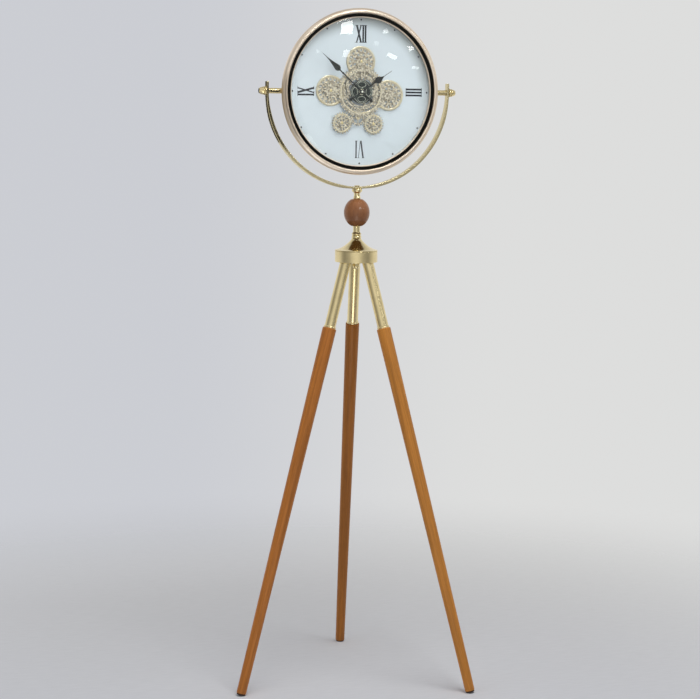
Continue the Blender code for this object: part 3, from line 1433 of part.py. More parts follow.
def build_cell(face, front):
    """One cell lying upright in an open tray fixed behind the dial."""
    pocket_width = 2 * CELL_RADIUS + 2 * RUN_GAP
    pocket_length = CELL_LENGTH + CELL_NUB_LENGTH + 2 * RUN_GAP
    tray_size = (pocket_width + 2 * TRAY_WALL, pocket_length + 2 * TRAY_WALL, TRAY_DEPTH)
    tray_centre = (-TRAY_OFFSET, 0, front - TRAY_DEPTH / 2)
    tray = add_object("battery_tray", block_mesh("battery_tray", tray_size, tray_centre), "plastic", face)
    pocket_centre = (-TRAY_OFFSET, 0, tray_centre[2] - TRAY_WALL)
    combine(tray, block_mesh("pocket", (pocket_width, pocket_length, TRAY_DEPTH), pocket_centre), face)
    depth = front - TRAY_WALL - RUN_GAP - CELL_RADIUS
    half = CELL_LENGTH / 2
    low = -half - CELL_NUB_LENGTH / 2
    cell_frame = add_frame("cell_frame", face, (-TRAY_OFFSET, 0, depth), (-math.pi / 2, 0, 0))
    turned(
        "battery",
        [
            (0, low + CELL_LENGTH + CELL_NUB_LENGTH),
            (CELL_NUB_RADIUS, low + CELL_LENGTH + CELL_NUB_LENGTH),
            (CELL_NUB_RADIUS, low + CELL_LENGTH),
            (CELL_RADIUS, low + CELL_LENGTH),
            (CELL_RADIUS, low),
            (0, low),
        ],
        "cell",
        cell_frame,
        SMALL_STEPS,
        closed=False,
    )


# Assembly

def centre_on_origin(root):
    """Put the middle of the clock's bounding box over the origin, with its feet on z = 0."""
    bpy.context.view_layer.update()
    graph = bpy.context.evaluated_depsgraph_get()
    corners = []
    for obj in clock.objects:
        if obj.type == "MESH":
            evaluated = obj.evaluated_get(graph)
            corners += [obj.matrix_world @ vertex.co for vertex in evaluated.data.vertices]
    for axis in (0, 1):
        values = [corner[axis] for corner in corners]
        root.location[axis] -= (min(values) + max(values)) / 2
    root.location[2] -= min(corner.z for corner in corners)
    bpy.context.view_layer.update()


def main():
    root = add_frame("tripod_floor_clock_frame", None)
    stand = add_frame("stand", root)
    face = add_frame("face", root, (0, 0, PIVOT_HEIGHT), (math.pi / 2, 0, 0))
    build_hub(stand)
    build_cap(stand)
    build_stem(stand)
    build_bolt(stand)
    build_legs(stand)
    build_yoke(face)
    build_pivots(face)
    build_bezel(face)
    build_case(face)
    build_dial(face)
    build_back_cover(face)
    build_centre(face)
    build_side_wheels(face)
    build_lower_wheels(face)
    build_centre_stack(face)
    build_hands(face)
    build_works(face)
    centre_on_origin(root)
    print("stand axis at", [round(value, 5) for value in root.location], "pivot", round(PIVOT_HEIGHT, 5))


main()
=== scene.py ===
"""Finish, fine pieces and studio for a tripod floor clock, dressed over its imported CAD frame.

Sizes are in metres. The face frame has x across the dial, y up it and z forward out of it.
"""

import math

import bmesh
import bpy
from mathutils import Matrix, Vector


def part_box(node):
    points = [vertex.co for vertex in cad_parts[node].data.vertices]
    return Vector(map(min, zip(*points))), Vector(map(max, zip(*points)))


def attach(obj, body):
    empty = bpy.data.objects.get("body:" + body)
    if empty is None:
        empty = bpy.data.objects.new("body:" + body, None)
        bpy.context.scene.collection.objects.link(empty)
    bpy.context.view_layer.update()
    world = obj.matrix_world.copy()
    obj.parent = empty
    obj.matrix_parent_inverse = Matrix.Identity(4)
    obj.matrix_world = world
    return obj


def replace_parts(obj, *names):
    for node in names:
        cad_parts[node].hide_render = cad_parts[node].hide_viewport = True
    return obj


bl_info = {
    "name": "Tripod Floor Clock Finish",
    "version": (1, 0, 0),
    "blender": (4, 5, 0),
    "location": "3D View > Sidebar > Floor Clock",
    "description": "Fine pieces, surface finishes and studio for a tripod floor clock",
    "category": "Object",
}

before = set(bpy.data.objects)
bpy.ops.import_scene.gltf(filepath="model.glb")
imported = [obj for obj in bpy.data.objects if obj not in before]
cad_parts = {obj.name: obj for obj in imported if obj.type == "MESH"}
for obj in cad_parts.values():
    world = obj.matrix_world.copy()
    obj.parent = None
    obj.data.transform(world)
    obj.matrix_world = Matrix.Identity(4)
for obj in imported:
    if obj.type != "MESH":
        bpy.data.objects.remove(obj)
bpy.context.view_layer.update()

SIDES = ("left", "right", "rear")

PLAY = 0.0003  # Room between pieces that touch
PLATE_EDGE = 0.00012  # Easing of a plate's edges
HAND_EDGE = 0.00022  # Easing of the hands' edges
WINDOW_CORNER = 0.0008  # Rounding of a wheel's windows
WOOD_SHOULDER = 0.0026  # Height of the shoulder at the top of a wooden leg
PAD_EDGE = 0.0005  # Rounding of the pads
POST_STEP = 0.0022  # How much thinner a post is inside the case
NUT_BORE_DEPTH = 0.0075  # Depth of the cap nut's thread
BOLT_REACH = 0.0072  # How far the tie bolt goes into the cap nut
ARBOR_END = 0.0038  # Distance forward to the inner end of the arbors
PRINT_RISE = 0.00006  # Height of the print over the dial
SENSOR_WIDTH = 36.0  # Millimetres across the camera's sensor
CORNER_SIGNS = ((-1, -1), (1, -1), (1, 1), (-1, 1))


# Settings

def length(label, default, description):
    return bpy.props.FloatProperty(
        name=label, description=description, default=default, precision=5, unit="LENGTH", subtype="DISTANCE"
    )


def angle(label, default, description):
    return bpy.props.FloatProperty(
        name=label, description=description, default=math.radians(default), unit="ROTATION", subtype="ANGLE"
    )


def colour(label, default, description):
    return bpy.props.FloatVectorProperty(
        name=label, description=description, default=default, size=3, min=0, max=1, subtype="COLOR"
    )


def amount(label, default, description):
    return bpy.props.FloatProperty(name=label, description=description, default=default, min=0)


def whole(label, default, description):
    return bpy.props.IntProperty(name=label, description=description, default=default, min=1)


class ClockStandSizes(bpy.types.PropertyGroup):
    """Sizes of the hub, the stem and the legs."""

    axis_x: length("Axis across", 0.032677, "Where the stand's axis is across the floor")
    axis_y: length("Axis along", -0.040041, "Where the stand's axis is along the floor")
    ring_inner: length("Ring inner radius", 0.04293, "Inside radius of the hub ring")
    ring_outer: length("Ring outer radius", 0.04903, "Outside radius of the hub ring")
    ring_bottom: length("Ring bottom", 0.9766, "Height of the lower edge of the hub ring")
    ring_top: length("Ring top", 1.0016, "Height of the upper edge of the hub ring")
    ring_edge: length("Ring edge", 0.0008, "Rounding of the hub ring's edges")
    cap_top: length("Cap top", 1.0302, "Height of the top of the flared cap")
    cap_lip: length("Cap lip", 0.0016, "Height of the upright lip of the flared cap")
    cap_neck: length("Cap neck radius", 0.0106, "Radius at the top of the flared cap")
    bolt_radius: length("Bolt radius", 0.0040, "Radius of the bolt that ties the stem together")
    bolt_head: length("Bolt head radius", 0.0070, "Radius of the bolt's head inside the yoke")
    bolt_top: length("Bolt head top", 1.1519, "Height of the top of the bolt's head")
    bolt_head_height: length("Bolt head height", 0.0024, "Height of the bolt's head")
    nut_radius: length("Cap nut radius", 0.0090, "Corner radius of the cap nut under the hub")
    nut_top: length("Cap nut top", 0.9711, "Height of the upper face of the cap nut")
    nut_height: length("Cap nut height", 0.0120, "Whole height of the cap nut")
    stem_low: length("Lower stem bottom", 1.0305, "Height of the bottom of the lower turned stem")
    stem_low_height: length("Lower stem height", 0.0282, "Height of the lower turned stem")
    ball_low: length("Ball bottom", 1.0590, "Height of the bottom of the wooden ball")
    ball_height: length("Ball height", 0.0610, "Height of the wooden ball")
    ball_radius: length("Ball radius", 0.0296, "Radius of the wooden ball")
    ball_seat: length("Ball seat radius", 0.0125, "Radius of the flats on the ball")
    stem_high: length("Upper stem bottom", 1.1203, "Height of the bottom of the upper turned stem")
    stem_high_height: length("Upper stem height", 0.0232, "Height of the upper turned stem")
    pin_offset: length("Hinge offset", 0.0260, "Distance of each leg's hinge pin from the axis")
    pin_height: length("Hinge height", 0.9886, "Height of the legs' hinge pins")
    lean: angle("Leg lean", 15.7, "How far each leg leans from upright")
    azimuth_rear: angle("Rear leg direction", 14.6, "Compass direction of the rear leg")
    azimuth_right: angle("Right leg direction", 134.6, "Compass direction of the right leg")
    azimuth_left: angle("Left leg direction", 254.6, "Compass direction of the left leg")
    tube_radius: length("Tube radius", 0.01275, "Outside radius of the brass tube on each leg")
    tube_wall: length("Tube wall", 0.0012, "Wall of the brass tube")
    tube_start: length("Tube start", 0.0103, "Distance down the leg to the top of the tube")
    tube_end: length("Tube end", 0.1678, "Distance down the leg to where the wood starts")
    socket: length("Tube socket", 0.0240, "How deep the tube goes into the wood")
    bead_radius: length("Bead radius", 0.0143, "Radius of the bead at the lower end of the tube")
    bead_height: length("Bead height", 0.0050, "Height of the bead")
    wood_radius: length("Wood top radius", 0.0160, "Radius of the wooden leg under the tube")
    foot_radius: length("Wood foot radius", 0.0110, "Radius of the wooden leg at the foot")
    wood_end: length("Wood end", 1.02205, "Distance down the leg to the end of the wood")
    pad_radius: length("Pad radius", 0.0100, "Radius of the pad under each leg")
    pad_end: length("Pad end", 1.02535, "Distance down the leg to the end of the pad")
    fit: length("Fit", PLAY, "Play between pieces that touch")


class ClockCaseSizes(bpy.types.PropertyGroup):
    """Sizes of the yoke, its pivots and the case, with distances forward from the pivot plane."""

    pivot_height: length("Pivot height", 1.3639, "Height of the axis that the case tilts on")
    yoke_radius: length("Yoke radius", 0.2176, "Radius to the middle of the yoke bar")
    yoke_thickness: length("Yoke thickness", 0.0050, "Thickness of the yoke bar")
    yoke_depth: length("Yoke depth", 0.0140, "Width of the yoke bar from front to back")
    yoke_swell: length("Yoke swell", 0.0011, "Extra thickness of each face of the yoke bar along its arms")
    yoke_edge: length("Yoke edge", 0.0011, "Rounding along the yoke bar")
    yoke_rise: length("Yoke rise", 0.0210, "How far the yoke's ends rise above the pivots")
    post_radius: length("Post radius", 0.0062, "Radius of the pivot posts")
    post_collar: length("Post collar radius", 0.0078, "Radius of the collar at the case")
    post_start: length("Post start", 0.1679, "Distance out from the middle to the post's collar")
    post_end: length("Post end", 0.2145, "Distance out from the middle to the end of the post")
    stud_radius: length("Knob stud radius", 0.0030, "Radius of the stud on each knob")
    stud_length: length("Knob stud length", 0.0121, "How deep the knob's stud goes into the post")
    knob_start: length("Knob start", 0.2204, "Distance out from the middle to the knob's face")
    knob_length: length("Knob length", 0.0165, "Length of the knob outside the yoke")
    knob_radius: length("Knob radius", 0.0100, "Largest radius of the knob")
    knob_end: length("Knob end radius", 0.0062, "Radius of the knob's end")
    dial_radius: length("Dial radius", 0.1680, "Radius of the dial and the glass")
    dial_front: length("Dial front", 0.0116, "Distance forward to the face of the dial")
    dial_thickness: length("Dial thickness", 0.0015, "Thickness of the dial plate")
    glass_front: length("Glass front", 0.0311, "Distance forward to the middle of the domed glass")
    glass_lift: length("Glass lift", 0.0050, "Distance from the dial to the glass at its edge")
    glass_seat: length("Glass seat", 0.0030, "Width of the flat edge of the glass")
    glass_thickness: length("Glass thickness", 0.0022, "Thickness of the glass")
    spacer_wall: length("Spacer wall", 0.0012, "Wall of the ring between the dial and the glass")
    lip_inner: length("Lip radius", 0.1668, "Inside radius of the rim's lip over the glass")
    flange_back: length("Lip back", 0.0191, "Distance forward to the back of the rim's lip")
    flange_front: length("Lip front", 0.0203, "Distance forward to the front of the rim's lip")
    ring_inner: length("Black ring inner radius", 0.1684, "Inside radius of the black ring")
    ring_outer: length("Black ring outer radius", 0.1758, "Outside radius of the black ring")
    ring_height: length("Black ring height", 0.0022, "How far the black ring stands over the lip")
    rim_radius: length("Rim radius", 0.1880, "Largest radius of the rim")
    rim_widest: length("Rim widest", 0.0145, "Distance forward to where the rim is widest")
    rim_back: length("Rim back", 0.0090, "Distance forward to the back edge of the rim")
    rim_inset: length("Rim inset", 0.00245, "How far the rim draws in at its back edge")
    rim_crown: length("Rim crown", 0.0042, "Height of the rim's crown over the lip")
    rim_wall: length("Rim wall", 0.0012, "Thickness of the pressed rim")
    shell_front: length("Shell front radius", 0.1696, "Outside radius of the shell round the dial")
    shell_rear: length("Shell rear radius", 0.1676, "Outside radius of the shell behind the dial")
    shell_wall: length("Shell wall", 0.0013, "Thickness of the shell")
    shell_back: length("Shell back", 0.0200, "Distance back to the outside of the shell")
    shell_corner: length("Shell corner", 0.0120, "Corner radius at the back of the shell")
    opening: length("Back opening radius", 0.0800, "Radius of the opening in the back")
    cover_radius: length("Cover radius", 0.0900, "Radius of the back cover")
    cover_thickness: length("Cover thickness", 0.0016, "Thickness of the back cover")
    cover_hole: length("Cover hole radius", 0.0110, "Radius of the hole for the setting knob")
    setting_drop: length("Setting knob drop", 0.0150, "How far the setting knob is under the middle")
    numeral_radius: length("Numeral radius", 0.1300, "Distance from the middle to the numerals")
    numeral_height: length("Numeral height", 0.0392, "Height of the numerals")
    dot_radius: length("Dot radius", 0.0020, "Radius of the hour dots")
    dot_ring: length("Dot circle radius", 0.1616, "Distance from the middle to the hour dots")


class ClockTrainSizes(bpy.types.PropertyGroup):
    """Sizes of the open wheel train and of the hands."""

    tooth_module: length("Tooth module", 0.0020, "Pitch diameter for each tooth")
    thickness: length("Wheel thickness", 0.0013, "Thickness of the wheels")
    layer_gap: length("Layer gap", 0.0007, "Room between layers of wheels")
    centre_teeth: whole("Centre wheel teeth", 56, "Teeth of the front centre wheel")
    rear_teeth: whole("Rear wheel teeth", 42, "Teeth of the rear centre wheel")
    top_teeth: whole("Top pinion teeth", 12, "Teeth of the top wheel's pinion")
    left_teeth: whole("Left pinion teeth", 16, "Teeth of the left wheel's pinion")
    right_teeth: whole("Right pinion teeth", 13, "Teeth of the right wheel's pinion")
    idler_teeth: whole("Idler teeth", 17, "Teeth of the idler wheel")
    lower_teeth: whole("Lower wheel teeth", 23, "Teeth of the two lower wheels")
    top_angle: angle("Top wheel direction", 90.0, "Direction of the top wheel from the middle")
    left_angle: angle("Left wheel direction", 178.5, "Direction of the left wheel from the middle")
    right_angle: angle("Right wheel direction", -6.0, "Direction of the right wheel from the middle")
    idler_angle: angle("Idler direction", -95.8, "Direction of the idler from the middle")
    lower_left_angle: angle("Lower left direction", 197.0, "Direction of the lower left wheel from the idler")
    lower_right_angle: angle(
        "Lower right direction", -20.2, "Direction of the lower right wheel from the idler"
    )
    side_radius: length("Side wheel radius", 0.0350, "Radius of the three lace wheels")
    side_points: whole("Side wheel points", 72, "Fine points round each lace wheel")
    ring_inner: length(
        "Bright ring inner radius", 0.0468, "Inside radius of the bright ring on the centre wheel"
    )
    ring_outer: length("Bright ring outer radius", 0.0500, "Outside radius of the bright ring")
    stud_radius: length("Stud radius", 0.0020, "Radius of the wheels' studs")
    bridge_radius: length("Bridge radius", 0.0370, "Outside radius of the eccentric bridge ring")
    bridge_inner: length("Bridge inner radius", 0.0315, "Inside radius of the eccentric bridge ring")
    bridge_offset: length("Bridge offset", 0.0155, "How far the bridge ring is above the middle")
    bridge_back: length("Bridge back", 0.0193, "Distance forward to the back of the bridge")
    disc_radius: length("Disc radius", 0.0270, "Radius of the mirror disc")
    cross_radius: length("Cross radius", 0.0262, "Radius of the four-lobed cross")
    bush_radius: length("Bush radius", 0.0060, "Radius of the fixed bush")
    bush_front: length("Bush front", 0.0224, "Distance forward to the front of the bush")
    hour_angle: angle("Hour hand", 56.0, "Clockwise angle of the hour hand")
    minute_angle: angle("Minute hand", 312.0, "Clockwise angle of the minute hand")
    hour_back: length("Hour hand back", 0.0227, "Distance forward to the back of the hour hand")
    minute_back: length("Minute hand back", 0.0242, "Distance forward to the back of the minute hand")
    hand_thickness: length("Hand thickness", 0.0008, "Thickness of the hands")
    hour_length: length("Hour hand length", 0.0865, "Length of the hour hand from the middle")
    hour_spade: length("Hour spade place", 0.0500, "Distance to the middle of the hour hand's spade")
    hour_spade_width: length("Hour spade width", 0.0150, "Width of the hour hand's spade")
    hour_taper: length("Hour taper", 0.0150, "How far the hour hand's spade runs out toward the tip")
    hour_tail: length("Hour tail", 0.0320, "Distance to the ball on the hour hand's tail")
    hour_ball: length("Hour tail ball", 0.0036, "Radius of the ball on the hour hand's tail")
    minute_length: length("Minute hand length", 0.1285, "Length of the minute hand from the middle")
    minute_spade: length("Minute spade place", 0.0820, "Distance to the middle of the minute hand's spade")
    minute_spade_width: length("Minute spade width", 0.0140, "Width of the minute hand's spade")
    minute_taper: length("Minute taper", 0.0340, "How far the minute hand's spade runs out toward the tip")
    minute_tail: length("Minute tail", 0.0300, "Distance to the ball on the minute hand's tail")
    minute_ball: length("Minute tail ball", 0.0043, "Radius of the ball on the minute hand's tail")
    shaft_width: length("Hand shaft width", 0.0026, "Width of the hands' shafts")
    tip_width: length("Hand tip width", 0.0012, "Width of the hands' tips")
    hub_radius: length("Hand hub radius", 0.0055, "Radius of the hands round the arbor")
    nut_radius: length("Hand nut radius", 0.0029, "Radius of the nut on the hands")


class ClockColours(bpy.types.PropertyGroup):
    """Colours of the finishes."""

    brass: colour("Brass", (0.78, 0.66, 0.38), "Polished brass of the stand")
    # Painted shade: a darker copy of the brass that stands for the darker reflections in the yoke.
    yoke: colour("Yoke brass", (0.64, 0.57, 0.36), "Darker brass of the yoke")
    brass_shade: colour("Brass shade", (0.60, 0.50, 0.27), "Duller streaks in the brass")
    rim: colour("Rim", (0.88, 0.77, 0.65), "Champagne plating of the rim")
    rim_shade: colour("Rim shade", (0.68, 0.55, 0.41), "Golden streaks in the rim")
    # Painted light and shade: one wood in three tones, by how the light falls on each leg, the right leg
    # lightest and the rear leg darkest.
    wood_left: colour("Left leg wood", (0.62, 0.215, 0.038), "Light grain of the left leg")
    wood_right: colour("Right leg wood", (0.76, 0.300, 0.052), "Light grain of the right leg")
    wood_rear: colour("Rear leg wood", (0.52, 0.185, 0.028), "Light grain of the rear leg")
    wood_shade: amount("Wood shade", 0.62, "How dark the dark grain is beside the light grain")
    ball: colour("Ball wood", (0.37, 0.148, 0.058), "Light grain of the ball")
    pad: colour("Pads", (0.055, 0.030, 0.016), "Rubber pads under the legs")
    lacquer: colour("Black ring", (0.0030, 0.0030, 0.0022), "Black lacquer of the ring")
    dial: colour("Dial", (0.605, 0.670, 0.725), "Painted face of the dial")
    # Painted shadow: the rim's shade is painted into the dial's colour near its upper edge.
    dial_rim_shadow: colour("Dial edge", (0.22, 0.245, 0.245), "Shade of the rim on the dial's edge")
    ink: colour("Ink", (0.0040, 0.0050, 0.0120), "Print of the numerals")
    wheel: colour("Wheels", (0.84, 0.77, 0.62), "Gold plating of the wheels")
    wheel_shade: colour("Wheel shade", (0.24, 0.20, 0.15), "Darker streaks in the plating")
    wheel_rim: colour("Wheel rims", (0.70, 0.64, 0.50), "Duller gold of the wheels' rims")
    mirror: colour("Disc", (0.026, 0.042, 0.036), "Dark mirror of the centre disc")
    silver: colour("Silver", (0.84, 0.85, 0.73), "Polished cross and bright ring")
    hands: colour("Hands", (0.0040, 0.0060, 0.0060), "Black paint of the hands")
    steel: colour("Steel", (0.52, 0.52, 0.50), "Nuts, pins and screws")
    plastic: colour("Plastic", (0.035, 0.035, 0.037), "Moulded works and back cover")


class ClockStudio(bpy.types.PropertyGroup):
    """Camera, lights and backdrop."""

    distance: length("Camera distance", 4.6917, "Distance of the camera from the stand's axis")
    height: length("Camera height", 1.3714, "Height of the camera above the floor")
    around: angle("Camera direction", 19.788, "How far the camera stands to the left of the front")
    pitch: angle("Camera pitch", 7.007, "How far the camera looks down")
    roll: angle("Camera roll", 0.792, "How far the camera is turned about its own axis")
    focal: amount("Focal length", 105.323, "Focal length of the camera in millimetres")
    shift_x: bpy.props.FloatProperty(name="Shift across", description="Lens shift", default=-0.00714)
    shift_y: bpy.props.FloatProperty(name="Shift up", description="Lens shift", default=-0.01333)
    backdrop_left: colour("Backdrop left", (0.600, 0.613, 0.652), "Backdrop colour at the left")
    backdrop_right: colour("Backdrop right", (0.725, 0.728, 0.722), "Backdrop colour at the right")
    floor_near: colour("Floor near", (0.73, 0.745, 0.80), "Floor colour in front of the clock")
    floor_far: colour("Floor far", (0.84, 0.84, 0.85), "Floor colour behind the clock")
    ambient: amount("Ambient light", 0.32, "Strength of the even light from all round")
    key_power: amount("Key power", 74.0, "Power of the big soft lamp in watts")
    fill_power: amount("Fill power", 14.0, "Power of the fill lamp in watts")


# Frames of the pieces

def settings(context, *names):
    """The finishes, then the named groups of sizes."""
    return [finishes(context)] + [getattr(context.scene, "clock_" + name) for name in names]


def stand_frame(context):
    sizes = context.scene.clock_stand
    return Matrix.Translation((sizes.axis_x, sizes.axis_y, 0))


def face_frame(context):
    stand = context.scene.clock_stand
    height = context.scene.clock_case.pivot_height
    return Matrix.Translation((stand.axis_x, stand.axis_y, height)) @ Matrix.Rotation(math.pi / 2, 4, "X")


def leg_frame(context, side):
    sizes = context.scene.clock_stand
    azimuth = getattr(sizes, "azimuth_" + side)
    place = Vector((math.sin(azimuth), math.cos(azimuth), 0)) * sizes.pin_offset
    place += Vector((sizes.axis_x, sizes.axis_y, sizes.pin_height))
    turn = Matrix.Rotation(math.pi / 2 - azimuth, 4, "Z") @ Matrix.Rotation(-sizes.lean, 4, "Y")
    return Matrix.Translation(place) @ turn


def spun(turn):
    return Matrix.Rotation(turn, 4, "Z")


def shifted(spot):
    return Matrix.Translation((spot[0], spot[1], 0))


def aimed(place, direction):
    """A frame at a place that looks along a direction, as cameras and lamps do."""
    return Matrix.Translation(place) @ direction.to_track_quat("-Z", "Y").to_matrix().to_4x4()


# Outlines and profiles

def polar(radius, direction):
    return (radius * math.cos(direction), radius * math.sin(direction))


def spread(radius, directions, centre=(0, 0)):
    """Points round a centre, one in each direction."""
    spots = [polar(radius, direction) for direction in directions]
    return [(centre[0] + x, centre[1] + y) for x, y in spots]


def circle(radius, steps, centre=(0, 0), start=0):
    return spread(radius, [start + 2 * math.pi * step / steps for step in range(steps)], centre)


def arc(radius, start, end, steps, centre=(0, 0)):
    return spread(radius, [start + (end - start) * step / steps for step in range(steps + 1)], centre)


def band(inner, outer, low, high):
    """Section of a plain ring."""
    return [(inner, low), (outer, low), (outer, high), (inner, high)]


def softened(points, radius, steps=3, closed=True):
    """Round the corners of an outline or profile, leaving the ends of an open one alone."""
    corners = [Vector(point) for point in points]
    count = len(corners)
    result = []
    for index, corner in enumerate(corners):
        if not closed and index in (0, count - 1):
            result.append(tuple(corner))
            continue
        before = corners[index - 1] - corner
        after = corners[(index + 1) % count] - corner
        reach = min(radius, before.length * 0.45, after.length * 0.45)
        straight = abs(math.pi - before.angle(after, math.pi)) < math.radians(4)
        if reach <= 0 or straight:
            result.append(tuple(corner))
            continue
        start = corner + before.normalized() * reach
        end = corner + after.normalized() * reach
        for step in range(steps + 1):
            share = step / steps
            point = start * (1 - share) ** 2 + corner * 2 * share * (1 - share) + end * share ** 2
            result.append(tuple(point))
    return result


def flowing(points, steps=6):
    """A smooth line through the given points."""
    line = [Vector(point) for point in points]
    padded = [line[0] * 2 - line[1]] + line + [line[-1] * 2 - line[-2]]
    result = []
    for index in range(1, len(padded) - 2):
        p0, p1, p2, p3 = padded[index - 1:index + 3]
        for step in range(steps):
            t = step / steps
            point = p1 * 2 + (p2 - p0) * t
            point += (p0 * 2 - p1 * 5 + p2 * 4 - p3) * t ** 2
            point += (p1 * 3 - p0 - p2 * 3 + p3) * t ** 3
            result.append(tuple(point / 2))
    result.append(tuple(line[-1]))
    return result


def toothed(teeth, module, phase):
    """Gear teeth with slightly curved flanks, one tooth centred on the angle phase."""
    pitch_radius = teeth * module / 2
    step = 2 * math.pi / teeth
    levels = ((-1.10, 0.34), (-0.45, 0.285), (0.20, 0.225), (0.62, 0.165), (0.85, 0.125))
    flank = [(pitch_radius + up * module, share) for up, share in levels]
    points = []
    for tooth in range(teeth):
        middle = phase + tooth * step
        points += [polar(radius, middle - share * step) for radius, share in flank]
        points += [polar(radius, middle + share * step) for radius, share in flank[::-1]]
    return points


def pointed(count, radius, depth):
    points = []
    for tooth in range(count):
        points.append(polar(radius, 2 * math.pi * tooth / count))
        points.append(polar(radius - depth, 2 * math.pi * (tooth + 0.5) / count))
    return points


def meshed_phase(driver_teeth, driver_phase, teeth, direction):
    """Phase that puts a gap of the driven wheel over the driver's tooth on the line of centres."""
    turns = (direction - driver_phase) * driver_teeth / (2 * math.pi)
    offset = turns - math.floor(turns)
    return direction + math.pi + (offset + 0.5) * 2 * math.pi / teeth


def windows(inner, outer, count, arm_width, phase=0, steps=8):
    """Openings between a hub and a rim, with straight-sided arms between them."""
    loops = []
    for index in range(count):
        middle = phase + 2 * math.pi * (index + 0.5) / count
        half_outer = math.pi / count - math.asin(arm_width / 2 / outer)
        half_inner = math.pi / count - math.asin(arm_width / 2 / inner)
        outside = arc(outer, middle - half_outer, middle + half_outer, steps)
        inside = arc(inner, middle + half_inner, middle - half_inner, steps)
        loops.append(softened(outside + inside, WINDOW_CORNER, 2))
    return loops


def petals(inner, outer, count, width, phase=0, steps=6):
    """Leaf-shaped openings pointing outward, as in pierced lace work."""
    loops = []
    for index in range(count):
        middle = Vector(polar(1, phase + 2 * math.pi * index / count))
        across = Vector((-middle.y, middle.x))
        right = []
        left = []
        for step in range(1, steps):
            share = step / steps
            bulge = math.sin(math.pi * share ** 0.8) * width / 2
            spot = middle * (inner + (outer - inner) * share)
            right.append(tuple(spot - across * bulge))
            left.append(tuple(spot + across * bulge))
        loops.append([tuple(middle * inner)] + right + [tuple(middle * outer)] + left[::-1])
    return loops


# Mesh building

def shaded(mesh, smooth_angle):
    mesh.shade_smooth()
    mesh.set_sharp_from_angle(angle=math.radians(smooth_angle))
    return mesh


def mesh_of(shape):
    """The mesh of a finished bmesh."""
    mesh = bpy.data.meshes.new("mesh")
    shape.to_mesh(mesh)
    shape.free()
    return mesh


def outward(shape):
    bmesh.ops.recalc_face_normals(shape, faces=shape.faces)
    return mesh_of(shape)


def ring_of(shape, points):
    return [shape.verts.new(point) for point in points]


def bridged(shape, lower, upper):
    """Faces between two rings of as many points."""
    for index in range(len(lower)):
        following = (index + 1) % len(lower)
        shape.faces.new((lower[index], lower[following], upper[following], upper[index]))


def linked(name, data, place=Matrix.Identity(4)):
    obj = bpy.data.objects.new(name, data)
    bpy.context.scene.collection.objects.link(obj)
    obj.matrix_world = place
    return obj


def mesh_object(name, mesh, place, material):
    mesh.name = name
    mesh.materials.clear()
    mesh.materials.append(material)
    return linked(name, mesh, place)


def settled(obj):
    """The mesh of an object with its modifiers applied, which takes the object's place."""
    mesh = bpy.data.meshes.new_from_object(obj.evaluated_get(bpy.context.evaluated_depsgraph_get()))
    bpy.data.objects.remove(obj)
    return mesh


def turned_mesh(profile, steps=96, closed=True, smooth_angle=32):
    """Revolve (radius, height) points about Z. An open profile starts and ends on the axis."""
    shape = bmesh.new()
    rings = []
    for radius, height in profile:
        spots = circle(radius, steps) if radius >= 1e-7 else [(0, 0)]
        rings.append(ring_of(shape, [(x, y, height) for x, y in spots]))
    pairs = list(zip(rings, rings[1:]))
    if closed:
        pairs.append((rings[-1], rings[0]))
    for lower, upper in pairs:
        for index in range(steps):
            following = (index + 1) % steps
            corners = [lower[index % len(lower)], lower[following % len(lower)]]
            corners += [upper[following % len(upper)], upper[index % len(upper)]]
            face = list(dict.fromkeys(corners))
            if len(face) > 2:
                shape.faces.new(face)
    return shaded(outward(shape), smooth_angle)


def turned_solid(profile, steps, smooth_angle=32):
    """A turned body whose profile starts and ends on the axis."""
    return turned_mesh(profile, steps, False, smooth_angle)


def plate_mesh(loops, low, high, edge=PLATE_EDGE, smooth_angle=28):
    """A flat outline with holes, standing from low to high, with its edges eased."""
    curve = bpy.data.curves.new("outline", "CURVE")
    curve.dimensions = "2D"
    curve.fill_mode = "BOTH"
    curve.extrude = (high - low) / 2 - edge
    curve.bevel_depth = edge
    curve.bevel_resolution = 0
    curve.offset = -edge
    for loop in loops:
        spline = curve.splines.new("POLY")
        spline.points.add(len(loop) - 1)
        for point, (x, y) in zip(spline.points, loop):
            point.co = (x, y, 0, 1)
        spline.use_cyclic_u = True
    shape = bmesh.new()
    shape.from_mesh(settled(linked("outline", curve)))
    bpy.data.curves.remove(curve)
    bmesh.ops.remove_doubles(shape, verts=shape.verts, dist=1e-6)
    bmesh.ops.translate(shape, verts=shape.verts, vec=(0, 0, (low + high) / 2))
    return shaded(outward(shape), smooth_angle)


def prism_mesh(polygons, low, high):
    """Thin upright prisms over each polygon, as for raised print."""
    shape = bmesh.new()
    for polygon in polygons:
        bottom = ring_of(shape, [(x, y, low) for x, y in polygon])
        top = ring_of(shape, [(x, y, high) for x, y in polygon])
        shape.faces.new(bottom[::-1])
        shape.faces.new(top)
        bridged(shape, bottom, top)
    return outward(shape)


def face_mesh(corners):
    shape = bmesh.new()
    shape.faces.new(ring_of(shape, corners))
    return mesh_of(shape)


def cut(mesh, *cutters, operation="DIFFERENCE"):
    """The mesh after a Boolean with each cutter mesh, all in the same axes."""
    target = linked("cut_target", mesh)
    holders = [linked("cutter", cutter) for cutter in cutters]
    for holder in holders:
        modifier = target.modifiers.new("Cut", "BOOLEAN")
        modifier.operation = operation
        modifier.solver = "EXACT"
        modifier.object = holder
    result = settled(target)
    for holder in holders:
        bpy.data.objects.remove(holder)
    return shaded(result, 30)


def joined(meshes):
    """One mesh made of several closed ones in the same axes."""
    shape = bmesh.new()
    for mesh in meshes:
        shape.from_mesh(mesh)
    return shaded(mesh_of(shape), 32)


def moved(mesh, matrix):
    mesh.transform(matrix)
    return mesh


